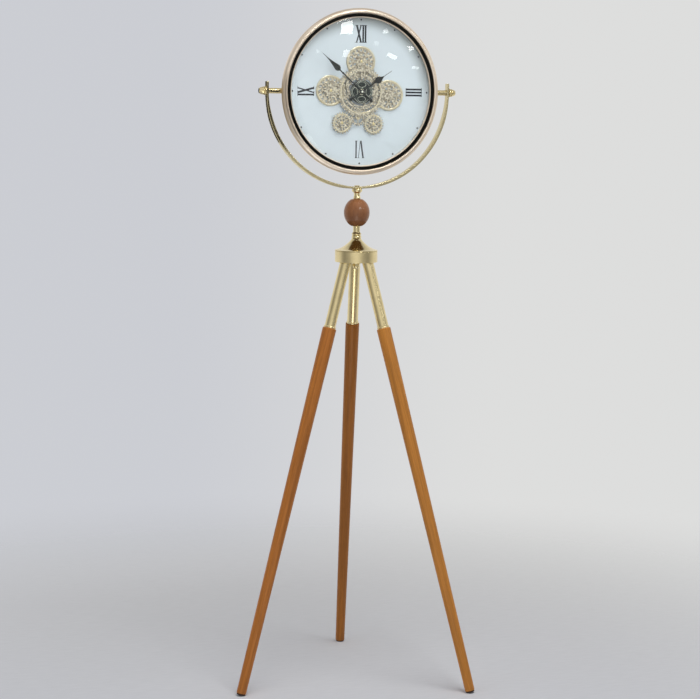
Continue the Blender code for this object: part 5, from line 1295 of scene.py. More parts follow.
class CLOCK_OT_case(bpy.types.Operator):
    """Pressed rim, black ring, shell, glass, spacer and back cover"""

    bl_idname = "clock.case"
    bl_label = "Case"

    def execute(self, context):
        paint, sizes = settings(context, "case")
        place = face_frame(context)
        steps = 192
        rim = turned_mesh(self.rim_profile(sizes), steps)
        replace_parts(add_piece("rim_fine", rim, place, paint, "rim", "case"), "bezel")

        low = sizes.flange_front + PLAY
        top = sizes.flange_front + sizes.ring_height
        ring = [
            (sizes.ring_inner, low), (sizes.ring_outer, low),
            (sizes.ring_outer - 0.0005, top), (sizes.ring_inner + 0.0011, top),
        ]
        dress("black_ring", turned_mesh(softened(ring, 0.0007, 4), steps), place, paint, "lacquer", "case")

        reach = sizes.shell_rear + 0.01
        bores = drill(sizes.post_radius - POST_STEP + PLAY, -reach, reach, 1, "Y")
        shell = cut(turned_mesh(self.shell_profile(sizes), steps), bores)
        dress("case_shell", shell, place, paint, "shell", "case")

        back = sizes.dial_front + sizes.glass_lift
        glass = turned_solid(self.glass_profile(sizes, back), steps)
        dress("glass", glass, place, paint, "glass", "case")

        inner = sizes.dial_radius - sizes.spacer_wall
        spacer = band(inner, sizes.dial_radius, back - PLAY, sizes.dial_front + PLAY)
        dress("dial_spacer", turned_mesh(softened(spacer, 0.0003, 2), steps), place, paint, "shell", "case")
        self.back_cover(sizes, place, paint)
        return {"FINISHED"}

    def glass_profile(self, sizes, back, steps=48):
        reach = sizes.dial_radius - sizes.glass_seat
        radii = [reach * (1 - (1 - step / steps) ** 1.5) for step in range(steps + 1)]
        outside = [(radius, glass_height(sizes, radius)) for radius in radii]
        edge = [(sizes.dial_radius, back + sizes.glass_thickness), (sizes.dial_radius, back)]
        inside = [(radius, forward - sizes.glass_thickness) for radius, forward in outside[::-1]]
        return outside + edge + inside

    def rim_profile(self, sizes):
        start = sizes.ring_outer + PLAY
        front = sizes.flange_front + sizes.rim_crown
        peak = start + (sizes.rim_radius - start) * 0.28
        face = flowing(
            [
                (start, sizes.flange_front + 0.0004),
                (start + 0.0003, sizes.flange_front + sizes.rim_crown * 0.52),
                (start + 0.0011, sizes.flange_front + sizes.rim_crown * 0.88),
                (peak, front),
            ],
            5,
        )
        roll_steps = 28
        roll = []
        for step in range(1, roll_steps + 1):
            turn = math.pi / 2 * (1 - step / roll_steps)
            roll.append((
                peak + (sizes.rim_radius - peak) * math.cos(turn),
                sizes.rim_widest + (front - sizes.rim_widest) * math.sin(turn),
            ))
        skirt = []
        for step in range(1, 7):
            share = step / 6
            skirt.append((
                sizes.rim_radius - sizes.rim_inset * share ** 1.6,
                sizes.rim_widest - (sizes.rim_widest - sizes.rim_back) * share,
            ))
        outer = face + roll + skirt
        centre = Vector((peak, sizes.rim_widest))
        inner = []
        for point in outer[6:]:
            away = Vector(point) - centre
            pulled = centre + away * (1 - sizes.rim_wall / max(away.length, sizes.rim_wall * 2))
            if pulled.x > start:
                inner.append(tuple(pulled))
        lip = softened(
            [
                (start - sizes.rim_wall, sizes.flange_back), (sizes.lip_inner, sizes.flange_back),
                (sizes.lip_inner, sizes.flange_front), (start, sizes.flange_front),
            ],
            0.0004, closed=False,
        )
        return lip + outer + inner[::-1]

    def shell_profile(self, sizes):
        wall = sizes.shell_wall
        back = -sizes.shell_back
        front = sizes.flange_back - PLAY
        shoulder = sizes.dial_front - sizes.dial_thickness - PLAY
        inner_radius = sizes.shell_rear - wall
        outside = [(sizes.shell_front - wall, front), (sizes.shell_front, front)]
        outside += [(sizes.shell_front, shoulder - wall), (sizes.shell_rear, shoulder - wall)]
        outside += quarter(sizes.shell_rear, back, sizes.shell_corner)
        inside = quarter(inner_radius, back + wall, sizes.shell_corner - wall)[::-1]
        inside += [(inner_radius, shoulder), (sizes.shell_front - wall, shoulder)]
        return outside + [(sizes.opening, back), (sizes.opening, back + wall)] + inside

    def back_cover(self, sizes, place, paint):
        front = -sizes.shell_back - PLAY
        back = front - sizes.cover_thickness
        loops = [circle(sizes.cover_radius, 144), circle(sizes.cover_hole, 48, (0, -sizes.setting_drop))]
        loops += windows(0.0560, 0.0620, 10, 0.0220, 0.31, 6)
        dress("back_cover", plate_mesh(loops, back, front, 0.0004), place, paint, "plastic", "case")
        head = [(0, back - 0.0013), (0.0014, back - 0.0012), (0.0026, back - 0.0007)]
        head += [(0.0031, back), (0, back)]
        screws = []
        for spot in circle(sizes.cover_radius - 0.0050, 4, start=math.pi / 4):
            slot = prism_mesh([band(-0.0024, 0.0024, -0.0003, 0.0003)], back - 0.0020, back - 0.0007)
            screw = cut(turned_solid(head, 24), moved(slot, spun(spot[0] * 40)))
            screws.append(moved(screw, shifted(spot)))
        add_piece("cover_screws", joined(screws), place, paint, "steel", "case")


class CLOCK_OT_dial(bpy.types.Operator):
    """Dial plate with its studs, printed numerals and hour dots"""

    bl_idname = "clock.dial"
    bl_label = "Dial"

    def execute(self, context):
        paint, sizes, train = settings(context, "case", "train")
        place = face_frame(context)
        front = sizes.dial_front
        loops = [circle(sizes.dial_radius, 192), circle(train.bush_radius + PLAY, 48)]
        loops.append(circle(train.stud_radius + PLAY, 24, wheel_places(train)["right_wheel"]))
        mesh = plate_mesh(loops, front - sizes.dial_thickness, front, 0.0001)
        # The dial's paint carries a painted rim shadow near its upper edge.
        dress("dial", mesh, place, paint, "dial", "case")
        add_piece("wheel_studs", joined(self.studs(sizes, train)), place, paint, "brass", "case")

        for word, degrees in (("XII", 0), ("III", 90), ("VI", 180), ("IX", 270)):
            turn = math.radians(degrees)
            mesh = prism_mesh(numeral_polygons(word, sizes.numeral_height), front, front + PRINT_RISE)
            spot = (sizes.numeral_radius * math.sin(turn), sizes.numeral_radius * math.cos(turn))
            moved(mesh, shifted(spot) @ spun(-turn))
            ink = "ink_soft" if word == "VI" else "ink"
            add_piece("numeral_" + word, mesh, place, paint, ink, "case")
        dots = [circle(sizes.dot_radius, 20, spot) for spot in circle(sizes.dot_ring, 12)]
        mesh = prism_mesh(dots, front, front + PRINT_RISE)
        add_piece("hour_dots", mesh, place, paint, "ink", "case")
        return {"FINISHED"}

    def studs(self, sizes, train):
        low = sizes.dial_front - sizes.dial_thickness
        radius = train.stud_radius
        rivet, rivet_radius = 0.0012, 0.0040
        parts = []
        for name, spot in wheel_places(train).items():
            if name == "right_wheel":
                continue
            layer = 2 if name in ("top_wheel", "left_wheel") else 1
            front = layer_back(sizes, train, layer) + train.thickness
            profile = [(0, low - rivet), (rivet_radius, low - rivet), (rivet_radius, low), (radius, low)]
            if name == "idler_wheel":
                profile += [(radius, front), (0, front)]
            else:
                profile += [
                    (radius, front + PLAY), (0.0030, front + PLAY), (0.0032, front + 0.0006),
                    (0.0027, front + 0.0010), (0.0014, front + 0.0013), (0, front + 0.0013),
                ]
            parts.append(moved(turned_solid(profile, 24), shifted(spot)))
        return parts


def numeral_polygons(word, height):
    """Condensed Roman numerals with heavy stems, hairlines and fine serifs, centred on the origin."""
    top = height / 2
    hair = 0.0010
    fine, heavy = (0.0008, 0.0034) if word == "VI" else (0.0018, 0.0040)
    polygons = []

    def serif(x, y, width):
        edge = y - math.copysign(hair, y)
        polygons.append(band(x - width / 2, x + width / 2, edge, y))

    def stem(x, reach=0.0062):
        half = heavy / 2
        polygons.append(band(x - half, x + half, -top, top))
        for sign in (-1, 1):
            y = sign * top
            serif(x, y, reach)
            inner = y - sign * (hair + 0.0013)
            near = y - sign * hair
            for way in (-1, 1):
                side = x + way * half
                polygons.append([(side, inner), (x + way * (half + 0.0009), near), (side, near)])

    def diagonal(x_top, x_bottom, width, foot=True):
        half = width / 2
        polygons.append([
            (x_bottom - half, -top), (x_bottom + half, -top), (x_top + half, top), (x_top - half, top)
        ])
        serif(x_top, top, width + 0.0034)
        if foot:
            serif(x_bottom, -top, width + 0.0034)

    if word == "III":
        for x in (-0.0068, 0, 0.0068):
            stem(x)
    elif word == "XII":
        diagonal(-0.0104, 0.0002, heavy * 1.12)
        diagonal(0.0000, -0.0106, fine * 1.6)
        stem(0.0052, reach=0.0056)
        stem(0.0108, reach=0.0056)
    elif word == "IX":
        stem(-0.0076, reach=0.0058)
        diagonal(-0.0028, 0.0078, heavy * 1.12)
        diagonal(0.0076, -0.0030, fine * 1.6)
    elif word == "VI":
        diagonal(-0.0090, -0.0030, heavy * 1.12, foot=False)
        diagonal(0.0026, -0.0018, fine * 1.6, foot=False)
        stem(0.0082, reach=0.0058)
    return polygons


# Wheel train

# Rows of windows: inner and outer radius, count, width of the arms, phase and steps.
CENTRE_WINDOWS = ((0.0345, 0.0452, 9, 0.0030, 0, 10), (0.0110, 0.0315, 5, 0.0035, 0, 10))
REAR_WINDOWS = (0.0110, 0.0360, 4, 0.0040, 0.3, 10)
IDLER_WINDOWS = (0.0055, 0.0120, 4, 0.0025)

# Rows of leaf-shaped openings: inner and outer radius, count, width and phase.
SIDE_PETALS = (
    (0.0226, 0.0288, 16, 0.0040, 0), (0.0126, 0.0198, 8, 0.0046, math.pi / 8), (0.0050, 0.0100, 8, 0.0026, 0),
)
LOWER_PETALS = ((0.0050, 0.0100, 6, 0.0030, 0), (0.0120, 0.0170, 12, 0.0034, math.pi / 12))

# Rows of beads: radius, count and size.
SIDE_BEADS = ((0.0211, 16, 0.0012), (0.0113, 8, 0.0010))
LOWER_BEADS = (0.0109, 12, 0.0010)


def layer_back(case, train, number):
    """Distance forward to the back of a layer of wheels."""
    return case.dial_front + train.layer_gap + number * (train.thickness + train.layer_gap)


def wheel_places(train):
    """Where each loose wheel's axis is on the face."""
    def pitch(name):
        return getattr(train, name + "_teeth") * train.tooth_module / 2

    places = {}
    for side in ("top", "left", "right"):
        direction = getattr(train, side + "_angle")
        places[side + "_wheel"] = polar(pitch("centre") + pitch(side), direction)
    idler = polar(pitch("rear") + pitch("idler"), train.idler_angle)
    places["idler_wheel"] = idler
    for side in ("left", "right"):
        x, y = polar(pitch("idler") + pitch("lower"), getattr(train, "lower_" + side + "_angle"))
        places["lower_" + side + "_wheel"] = (idler[0] + x, idler[1] + y)
    return places


def raised_ring(inner, outer, base, rise):
    """A smooth ring that stands a little over a wheel's face."""
    middle, half = (inner + outer) / 2, (outer - inner) / 2
    turns = (0, 0.7, 1.2, 1.57, 1.94, 2.44, math.pi)
    crown = [(middle + half * math.cos(turn), base + rise * math.sin(turn)) for turn in turns]
    return turned_mesh([(outer, base - 0.0002)] + crown + [(inner, base - 0.0002)])


def beads(radius, count, size, base, phase=0):
    """Small domes in a circle on a wheel's face."""
    dome = [(0, base + size * 0.55), (size * 0.5, base + size * 0.46), (size * 0.87, base + size * 0.22)]
    dome += [(size, base - 0.0001), (0, base - 0.0001)]
    return [moved(turned_solid(dome, 10), shifted(spot)) for spot in circle(radius, count, start=phase)]


class CLOCK_OT_wheels(bpy.types.Operator):
    """The open train of toothed and pierced wheels in front of the dial"""

    bl_idname = "clock.wheels"
    bl_label = "Wheels"

    def execute(self, context):
        paint, case, train = settings(context, "case", "train")
        face = face_frame(context)
        module = train.tooth_module
        layers = [layer_back(case, train, number) for number in range(3)]
        front = layers[2] + train.thickness
        bore = circle(train.bush_radius + PLAY, 40)

        loops = [toothed(train.centre_teeth, module, 0), bore]
        for row in CENTRE_WINDOWS:
            loops += windows(*row)
        dress("centre_wheel", plate_mesh(loops, layers[2], front), face, paint, "wheel", "centre_wheel")

        loops = [toothed(train.rear_teeth, module, 0), bore] + windows(*REAR_WINDOWS)
        mesh = plate_mesh(loops, layers[1], layers[2] - PLAY)
        dress("centre_rear_wheel", mesh, face, paint, "wheel", "centre_wheel")

        ring = [
            (train.ring_inner, front + 0.00002), (train.ring_outer, front + 0.00002),
            (train.ring_outer - 0.0003, front + 0.0008), (train.ring_inner + 0.0003, front + 0.0008),
        ]
        mesh = turned_mesh(softened(ring, 0.0003), 128)
        add_piece("bright_ring", mesh, face, paint, "gold_ring", "centre_wheel")

        places = wheel_places(train)
        bore = circle(train.stud_radius + PLAY, 24)
        for side in ("top", "left", "right"):
            axis = face @ shifted(places[side + "_wheel"])
            self.side_wheel(train, side, axis, paint, layers[0], bore)
            self.pinion(train, side, axis, paint, layers, bore)
        self.lower_wheels(train, places, face, paint, layers[1], bore)
        return {"FINISHED"}

    def side_wheel(self, train, side, axis, paint, low, bore):
        front = low + train.thickness
        loops = [pointed(train.side_points, train.side_radius, 0.0006), bore]
        for row in SIDE_PETALS:
            loops += petals(*row)
        parts = [plate_mesh(loops, low, front), raised_ring(0.0206, 0.0217, front, 0.0003)]
        for radius, count, size in SIDE_BEADS:
            parts += beads(radius, count, size, front, math.pi / count)
        name = side + "_wheel"
        ring = raised_ring(0.0300, train.side_radius - 0.0007, front, 0.0006)
        add_piece(name + "_rim", ring, axis, paint, "wheel_rim", name)
        dress(name, joined(parts), axis, paint, "wheel", name)

    def pinion(self, train, side, axis, paint, layers, bore):
        teeth = getattr(train, side + "_teeth")
        phase = meshed_phase(train.centre_teeth, 0, teeth, getattr(train, side + "_angle"))
        low = layers[0] + train.thickness + PLAY
        high = layers[2] + train.thickness
        outline = toothed(teeth, train.tooth_module, phase)
        if side == "right":
            arbor = [
                (0, ARBOR_END), (train.stud_radius, ARBOR_END), (train.stud_radius, high),
                (0.0026, high), (0.0026, high + 0.0005), (0.0018, high + 0.0010), (0, high + 0.0011),
            ]
            mesh = joined([plate_mesh([outline], low, high), turned_solid(arbor, 24)])
        else:
            mesh = plate_mesh([outline, bore], low, high)
        dress(side + "_pinion", mesh, axis, paint, "wheel", side + "_wheel")

    def lower_wheels(self, train, places, face, paint, low, bore):
        front = low + train.thickness
        idler_phase = meshed_phase(train.rear_teeth, 0, train.idler_teeth, train.idler_angle)
        loops = [toothed(train.idler_teeth, train.tooth_module, idler_phase), bore]
        mesh = plate_mesh(loops + windows(*IDLER_WINDOWS), low, front)
        dress("idler_wheel", mesh, face @ shifted(places["idler_wheel"]), paint, "wheel", "idler_wheel")
        for side in ("left", "right"):
            name = "lower_" + side + "_wheel"
            direction = getattr(train, "lower_" + side + "_angle")
            phase = meshed_phase(train.idler_teeth, idler_phase, train.lower_teeth, direction)
            loops = [toothed(train.lower_teeth, train.tooth_module, phase), bore]
            for row in LOWER_PETALS:
                loops += petals(*row)
            mesh = joined([plate_mesh(loops, low, front)] + beads(*LOWER_BEADS, front))
            axis = face @ shifted(places[name])
            dress(name, mesh, axis, paint, "wheel", name)
            ring = raised_ring(0.0180, 0.0212, front, 0.0003)
            add_piece(name + "_rim", ring, axis, paint, "wheel_rim", name)


class CLOCK_OT_centre(bpy.types.Operator):
    """Fixed bush with the eccentric bridge, mirror disc and four-lobed cross"""

    bl_idname = "clock.centre"
    bl_label = "Centre stack"

    def execute(self, context):
        paint, case, train = settings(context, "case", "train")
        face = face_frame(context)
        back = train.bridge_back
        bore = train.bush_radius + PLAY
        hole = circle(bore, 40)
        thick = 0.0008
        disc_back, cross_back = back + 0.0011, back + 0.0022
        loops = [circle(train.bridge_radius, 96, (0, train.bridge_offset)), hole]
        mesh = plate_mesh(loops + self.bridge_openings(train), back, back + thick)
        dress("gear_bridge", mesh, face, paint, "wheel", "case")
        disc = softened(band(bore, train.disc_radius, disc_back, disc_back + thick), 0.0002, 2)
        dress("centre_disc", turned_mesh(disc), face, paint, "mirror", "case")
        mesh = joined(self.cross_parts(train, hole, bore, cross_back))
        dress("centre_cross", mesh, face, paint, "silver", "case")

        inner, outer, shoulder = 0.0039, train.bush_radius, 0.0085
        front, rear = case.dial_front + PLAY, case.dial_front - 0.0018
        layer = layer_back(case, train, 1) - PLAY
        profile = [
            (inner, train.bush_front), (outer, train.bush_front), (outer, layer), (shoulder, layer),
            (shoulder, front), (outer, front), (outer, rear), (inner, rear),
        ]
        dress("hand_bush", turned_mesh(softened(profile, 0.0002, 2), 48), face, paint, "brass", "case")
        return {"FINISHED"}

    def cross_parts(self, train, hole, bore, low):
        """Fine lines of the cross: its lobed edge, its hub and a lens in each arm."""
        line = 0.0009
        high = low + 0.0006
        lobes = [self.lobed(train.cross_radius), self.lobed(train.cross_radius - line)]
        parts = [plate_mesh(lobes, low, high), plate_mesh([circle(bore + 0.0008, 40), hole], low, high)]
        lens = [
            [(wide * x, 0.0164 + deep * y) for x, y in circle(1, 28)]
            for wide, deep in ((0.0100, 0.0066), (0.0100 - line, 0.0066 - line))
        ]
        parts += [moved(plate_mesh(lens, low, high), spun(arm * math.pi / 2)) for arm in range(4)]
        return parts

    def lobed(self, radius):
        turns = [2 * math.pi * step / 144 for step in range(144)]
        return [polar(radius * (0.94 + 0.06 * math.cos(4 * turn)), turn) for turn in turns]

    def bridge_openings(self, train):
        def reach(direction):
            sideways, up = polar(train.bridge_offset, direction)
            return up + math.sqrt(train.bridge_inner ** 2 - sideways ** 2)

        hub = train.bush_radius + 0.0045
        half_arm = 0.00225
        arms = [math.radians(value) for value in (90, 180, 270, 360, 450)]
        loops = []
        for start, end in zip(arms, arms[1:]):
            first = start + math.asin(half_arm / reach(start))
            last = end - math.asin(half_arm / reach(end))
            directions = [first + (last - first) * step / 12 for step in range(13)]
            outside = [polar(reach(direction), direction) for direction in directions]
            half = math.asin(half_arm / hub)
            loops.append(softened(outside + arc(hub, end - half, start + half, 6), 0.0006, 2))
        return loops


# Hands

def hand_outline(train, kind, bulge=0):
    """Half of a spade hand drawn up its right side, then mirrored."""
    sizes = ("_length", "_spade", "_spade_width", "_tail", "_ball", "_taper")
    reach, spade, spade_width, tail, ball, taper = (getattr(train, kind + size) for size in sizes)
    shaft = train.shaft_width / 2
    tip = train.tip_width / 2
    entry = math.asin(shaft / ball)
    side = arc(ball, -math.pi / 2, math.pi / 2 - entry, 16, (0, -tail))
    hub_entry = math.asin(shaft / train.hub_radius)
    side += arc(train.hub_radius, -math.pi / 2 + hub_entry, math.pi / 2 - hub_entry, 18)
    if bulge:
        side += flowing(
            [
                (shaft, bulge - 2.2 * shaft), (1.25 * shaft, bulge - 1.2 * shaft), (2 * shaft, bulge),
                (1.25 * shaft, bulge + 1.2 * shaft), (shaft, bulge + 2.2 * shaft),
            ],
            3,
        )
    shares = (
        (0.10, -0.72), (0.20, -0.645), (0.30, -0.56), (0.40, -0.44),
        (0.47, -0.30), (0.50, -0.14), (0.49, 0.0),
    )
    leaf = [(spade_width * out, spade + spade_width * along) for out, along in shares]
    leaf += [
        (spade_width * 0.49 * (1 - along) ** 1.35 + tip * along, spade + taper * along)
        for along in (0.15, 0.3, 0.45, 0.6, 0.75, 0.9, 1.0)
    ]
    side += flowing(leaf, 3)
    side.append((tip * 0.8, reach - tip))
    mirrored = [(-x, y) for x, y in side[::-1] if x > 1e-5]
    return side + [(0, reach)] + mirrored


class CLOCK_OT_hands(bpy.types.Operator):
    """Hour and minute hands with the nut that holds them"""

    bl_idname = "clock.hands"
    bl_label = "Hands"

    def execute(self, context):
        paint, train = settings(context, "train")
        face = face_frame(context)
        thick = train.hand_thickness
        bore, pipe_radius, arbor_radius = 0.0019, 0.0036, 0.0016
        low = train.hour_back
        blade = plate_mesh([hand_outline(train, "hour"), circle(bore, 24)], low, low + thick, HAND_EDGE)
        pipe = turned_mesh(band(bore, pipe_radius, ARBOR_END + 0.003, low + 0.0001), 32)
        place = face @ spun(-train.hour_angle)
        dress("hour_hand", joined([blade, pipe]), place, paint, "hand", "hour_hand")

        low = train.minute_back
        outline = hand_outline(train, "minute", train.minute_spade * 0.76)
        blade = plate_mesh([outline], low, low + thick, HAND_EDGE)
        nut_low = low + thick + PLAY
        arbor_top = nut_low + 0.0013
        arbor = turned_solid(band(0, arbor_radius, ARBOR_END, arbor_top), 24)
        place = face @ spun(-train.minute_angle)
        dress("minute_hand", joined([blade, arbor]), place, paint, "hand", "minute_hand")

        top = nut_low + 0.0026
        wide = train.nut_radius
        nut = [
            (0, top), (wide * 0.45, top - 0.0001), (wide * 0.8, top - 0.0005), (wide, top - 0.0012),
            (wide, nut_low), (bore, nut_low), (bore, arbor_top + PLAY), (0, arbor_top + PLAY),
        ]
        dress("hand_nut", turned_solid(nut, 40), place, paint, "silver", "minute_hand")
        return {"FINISHED"}


class CLOCK_OT_works(bpy.types.Operator):
    """Movement, motor, cell and setting knob behind the dial"""

    bl_idname = "clock.works"
    bl_label = "Works"

    def execute(self, context):
        paint, sizes, stand = settings(context, "case", "stand")
        repaint(paint["plastic"], "movement", "battery_tray")
        repaint(paint["steel"], "gear_motor")
        repaint(paint["cell"], "battery")
        low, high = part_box("setting_knob")
        back = -high[1] + stand.axis_y
        front = -low[1] + stand.axis_y
        grip_front = back + 0.00825
        shaft_start = front - 0.0035
        shaft, collar = 0.0015, 0.0040
        core = [
            (0, front), (shaft, front), (shaft, shaft_start), (collar, shaft_start),
            (collar, grip_front - 0.0001), (0, grip_front - 0.0001),
        ]
        grip = plate_mesh([pointed(40, 0.0080, 0.0005)], back, grip_front, 0.0005)
        mesh = joined([turned_solid(core, 32), grip])
        place = face_frame(context) @ shifted((0, -sizes.setting_drop))
        dress("setting_knob", mesh, place, paint, "plastic", "setting_knob")
        return {"FINISHED"}


# Studio

# Places on the picture, width and height in its pixels, lean, and strength of each bright panel.
WINDOW_GLINTS = (
    (346.0, 27.2, 12.0, 13.5, 0.0, 16.0),
    (346.5, 53.4, 7.0, 7.5, 0.0, 7.0),
    (385.3, 31.3, 5.0, 3.6, -0.2, 9.0),
    (411.6, 47.2, 7.0, 4.6, -0.35, 14.0),
    (391.8, 56.2, 10.0, 4.2, 0.45, 9.0),
    (415.3, 67.6, 6.5, 2.6, 0.15, 6.0),
    (317.8, 51.2, 3.6, 2.6, 0.0, 5.0),
    (376.5, 43.3, 4.6, 4.0, 0.2, 3.0),
    (373.3, 20.6, 3.0, 2.2, 0.2, 7.0),
    (310.8, 41.8, 3.6, 2.4, -0.8, 9.0),
    (410.2, 141.6, 6.0, 2.2, -0.9, 6.0),
    (305.0, 144.6, 5.0, 1.8, 0.9, 4.0),
)


def camera_matrix(context):
    studio = context.scene.clock_studio
    stand = context.scene.clock_stand
    toward = Vector((math.sin(studio.around), math.cos(studio.around), 0))
    place = Vector((stand.axis_x, stand.axis_y, studio.height)) - toward * studio.distance
    forward = toward * math.cos(studio.pitch) - Vector((0, 0, math.sin(studio.pitch)))
    return aimed(place, forward) @ spun(studio.roll)


def glowing(name, strength, tone=(1.0, 1.0, 0.97)):
    material, tree, shader = new_material(name)
    tree.nodes.remove(shader)
    glow = node(tree, "Emission", {"Color": opaque(tone), "Strength": strength})
    feed(tree, tree.nodes["Material Output"].inputs, {"Surface": glow.outputs[0]})
    return material


def reflected_card(name, mesh, place, material):
    """Put a stage card where only polished surfaces show it."""
    obj = mesh_object(name, mesh, place, material)
    obj.visible_camera = False
    obj.visible_diffuse = False
    obj.visible_shadow = False
    obj.visible_transmission = False


class CLOCK_OT_studio(bpy.types.Operator):
    """Camera, floor, backdrop and soft lights"""

    bl_idname = "clock.studio"
    bl_label = "Studio"

    def execute(self, context):
        scene = context.scene
        studio, stand, case = scene.clock_studio, scene.clock_stand, scene.clock_case
        self.camera(context, studio)
        self.floor(studio)
        self.world(context, studio)
        self.lamps(studio, stand)
        self.glints(context, studio, stand, case)
        self.dark_cards(context, studio, stand, case)
        self.low_card(studio, stand)
        scene.view_settings.view_transform = "Standard"
        return {"FINISHED"}

    def camera(self, context, studio):
        data = bpy.data.cameras.new("camera")
        data.lens = studio.focal
        data.sensor_width = SENSOR_WIDTH
        data.shift_x = studio.shift_x
        data.shift_y = studio.shift_y
        data.clip_end = 100.0
        context.scene.camera = linked("camera", data, camera_matrix(context))

    def floor(self, studio):
        material, tree, shader = new_material("paper_floor")
        place, axes = object_place(tree)
        across = times(tree, axes[0], math.sin(studio.around))
        toward = plus(tree, across, times(tree, axes[1], math.cos(studio.around)))
        depth = eased_mask(tree, toward, -1.0, 1.6)
        fibres = node(tree, "Mapping", {"Scale": (24, 140, 1), "Vector": place}).outputs["Vector"]
        weave = node(tree, "TexNoise", {"Vector": fibres, "Scale": 1.0, "Detail": 3.0}).outputs["Fac"]
        shade = ranged(tree, weave, 0.2, 0.8, 0.97, 1.03)
        tone = mixed(tree, depth, opaque(studio.floor_near), opaque(studio.floor_far))
        distance = vector_math(tree, "LENGTH", {0: place})["Value"]
        feed(tree, shader.inputs, {
            "Base Color": vector_math(tree, "SCALE", {0: tone, "Scale": shade})[0],
            "Roughness": 0.9,
            "Specular IOR Level": 0.1,
            "Alpha": ranged(tree, distance, 0.55, 2.2, 1, 0, smooth=True),
        })
        rings = [(radius, -0.0004) for radius in (6.5, 4.5, 3.0, 1.5, 0.6, 0)]
        mesh_object("floor", turned_solid(rings, 64), Matrix.Identity(4), material)

    def world(self, context, studio):
        """A backdrop for the camera, an even light, and bright and dark sides for reflections."""
        world = bpy.data.worlds.new("studio_world")
        context.scene.world = world
        world.use_nodes = True
        tree = world.node_tree
        direction = node(tree, "TexCoord").outputs["Generated"]

        def along(axis):
            return vector_math(tree, "DOT_PRODUCT", {0: direction, 1: axis})["Value"]

        around = studio.around
        rightward = along((math.cos(around), -math.sin(around), 0))
        toward_camera = along((-math.sin(around), -math.cos(around), 0))
        upward = along((0, 0, 1))
        sides = (opaque(studio.backdrop_left), opaque(studio.backdrop_right))
        backdrop = mixed(tree, eased_mask(tree, rightward, -0.095, 0.075), *sides)
        ramp = node(tree, "ValToRGB", {"Fac": ranged(tree, toward_camera, -1, 1, 0, 1)})
        stops = (
            (0.0, 0.88), (0.30, 0.90), (0.48, 0.70), (0.60, 0.42),
            (0.70, 0.32), (0.80, 0.40), (0.90, 0.49), (1.0, 0.95),
        )
        elements = ramp.color_ramp.elements
        elements[0].position, elements[1].position = stops[0][0], stops[-1][0]
        for position, _ in stops[1:-1]:
            elements.new(position)
        for element, (_, value) in zip(elements, stops):
            element.color = (value, value * 0.985, value * 0.95, 1)
        ceiling = (opaque((0.46, 0.455, 0.44)), opaque((0.86, 0.85, 0.83)))
        overhead = mixed(tree, eased_mask(tree, toward_camera, -0.25, 0.10), *ceiling)
        reflected = mixed(tree, eased_mask(tree, upward, 0.42, 0.88), ramp.outputs["Color"], overhead)
        path = node(tree, "LightPath").outputs
        ambient = opaque((studio.ambient, studio.ambient * 1.005, studio.ambient * 1.02))
        light = mixed(tree, path["Is Glossy Ray"], ambient, reflected)
        seen = calculated(tree, "MAXIMUM", path["Is Camera Ray"], path["Is Transmission Ray"])
        shown = {"Color": mixed(tree, seen, light, backdrop), "Strength": 1.0}
        feed(tree, tree.nodes["Background"].inputs, shown)

    def lamps(self, studio, stand):
        middle = Vector((stand.axis_x, stand.axis_y, 0.95))
        for name, direction, distance, size, power, tone in (
            ("key_lamp", (0.05, -0.36, 1.00), 3.6, 1.9, studio.key_power, (1.0, 0.99, 0.96)),
            ("fill_lamp", (-0.85, -0.45, 0.35), 3.8, 2.4, studio.fill_power, (0.95, 0.97, 1.0)),
        ):
            data = bpy.data.lights.new(name, "AREA")
            data.shape = "SQUARE"
            data.size = size
            data.energy = power
            data.color = tone
            place = middle + Vector(direction).normalized() * distance
            linked(name, data, aimed(place, middle - place)).visible_glossy = False

    def glints(self, context, studio, stand, sizes):
        """Small bright panels that only show as the window reflections on the front glass."""
        camera = camera_matrix(context)
        axis = Vector((stand.axis_x, stand.axis_y, sizes.pivot_height))
        image = (700, 699)
        panel_distance, shoulder_share, step = 4.2, 0.975, 0.0001

        def reflection(x, y):
            across = ((x / image[0] - 0.5) + studio.shift_x) * SENSOR_WIDTH / studio.focal
            up = ((0.5 * image[1] - y) / image[0] + studio.shift_y) * SENSOR_WIDTH / studio.focal
            ray = (camera.to_3x3() @ Vector((across, up, -1))).normalized()
            start = camera.translation
            forward = sizes.glass_front
            for _ in range(8):
                spot = start + ray * ((axis.y - forward - start.y) / ray.y)
                out = Vector((spot.x - axis.x, spot.z - axis.z))
                forward = glass_height(sizes, out.length)
            shoulder = min(out.length, shoulder_share * (sizes.dial_radius - sizes.glass_seat))
            slope = (glass_height(sizes, shoulder + step) - glass_height(sizes, shoulder)) / step
            normal = Vector((-slope * out.x / out.length, -1, -slope * out.y / out.length)).normalized()
            return spot + (ray - normal * 2 * ray.dot(normal)) * panel_distance

        for number, (x, y, width, height, lean, strength) in enumerate(WINDOW_GLINTS):
            corners = []
            for sign_x, sign_y in CORNER_SIGNS:
                dx, dy = sign_x * width / 2, sign_y * height / 2
                turned_x = dx * math.cos(lean) - dy * math.sin(lean)
                turned_y = dx * math.sin(lean) + dy * math.cos(lean)
                corners.append(reflection(x + turned_x, y + turned_y))
            name = "window_panel_%d" % number
            reflected_card(name, face_mesh(corners), Matrix.Identity(4), glowing(name, strength))

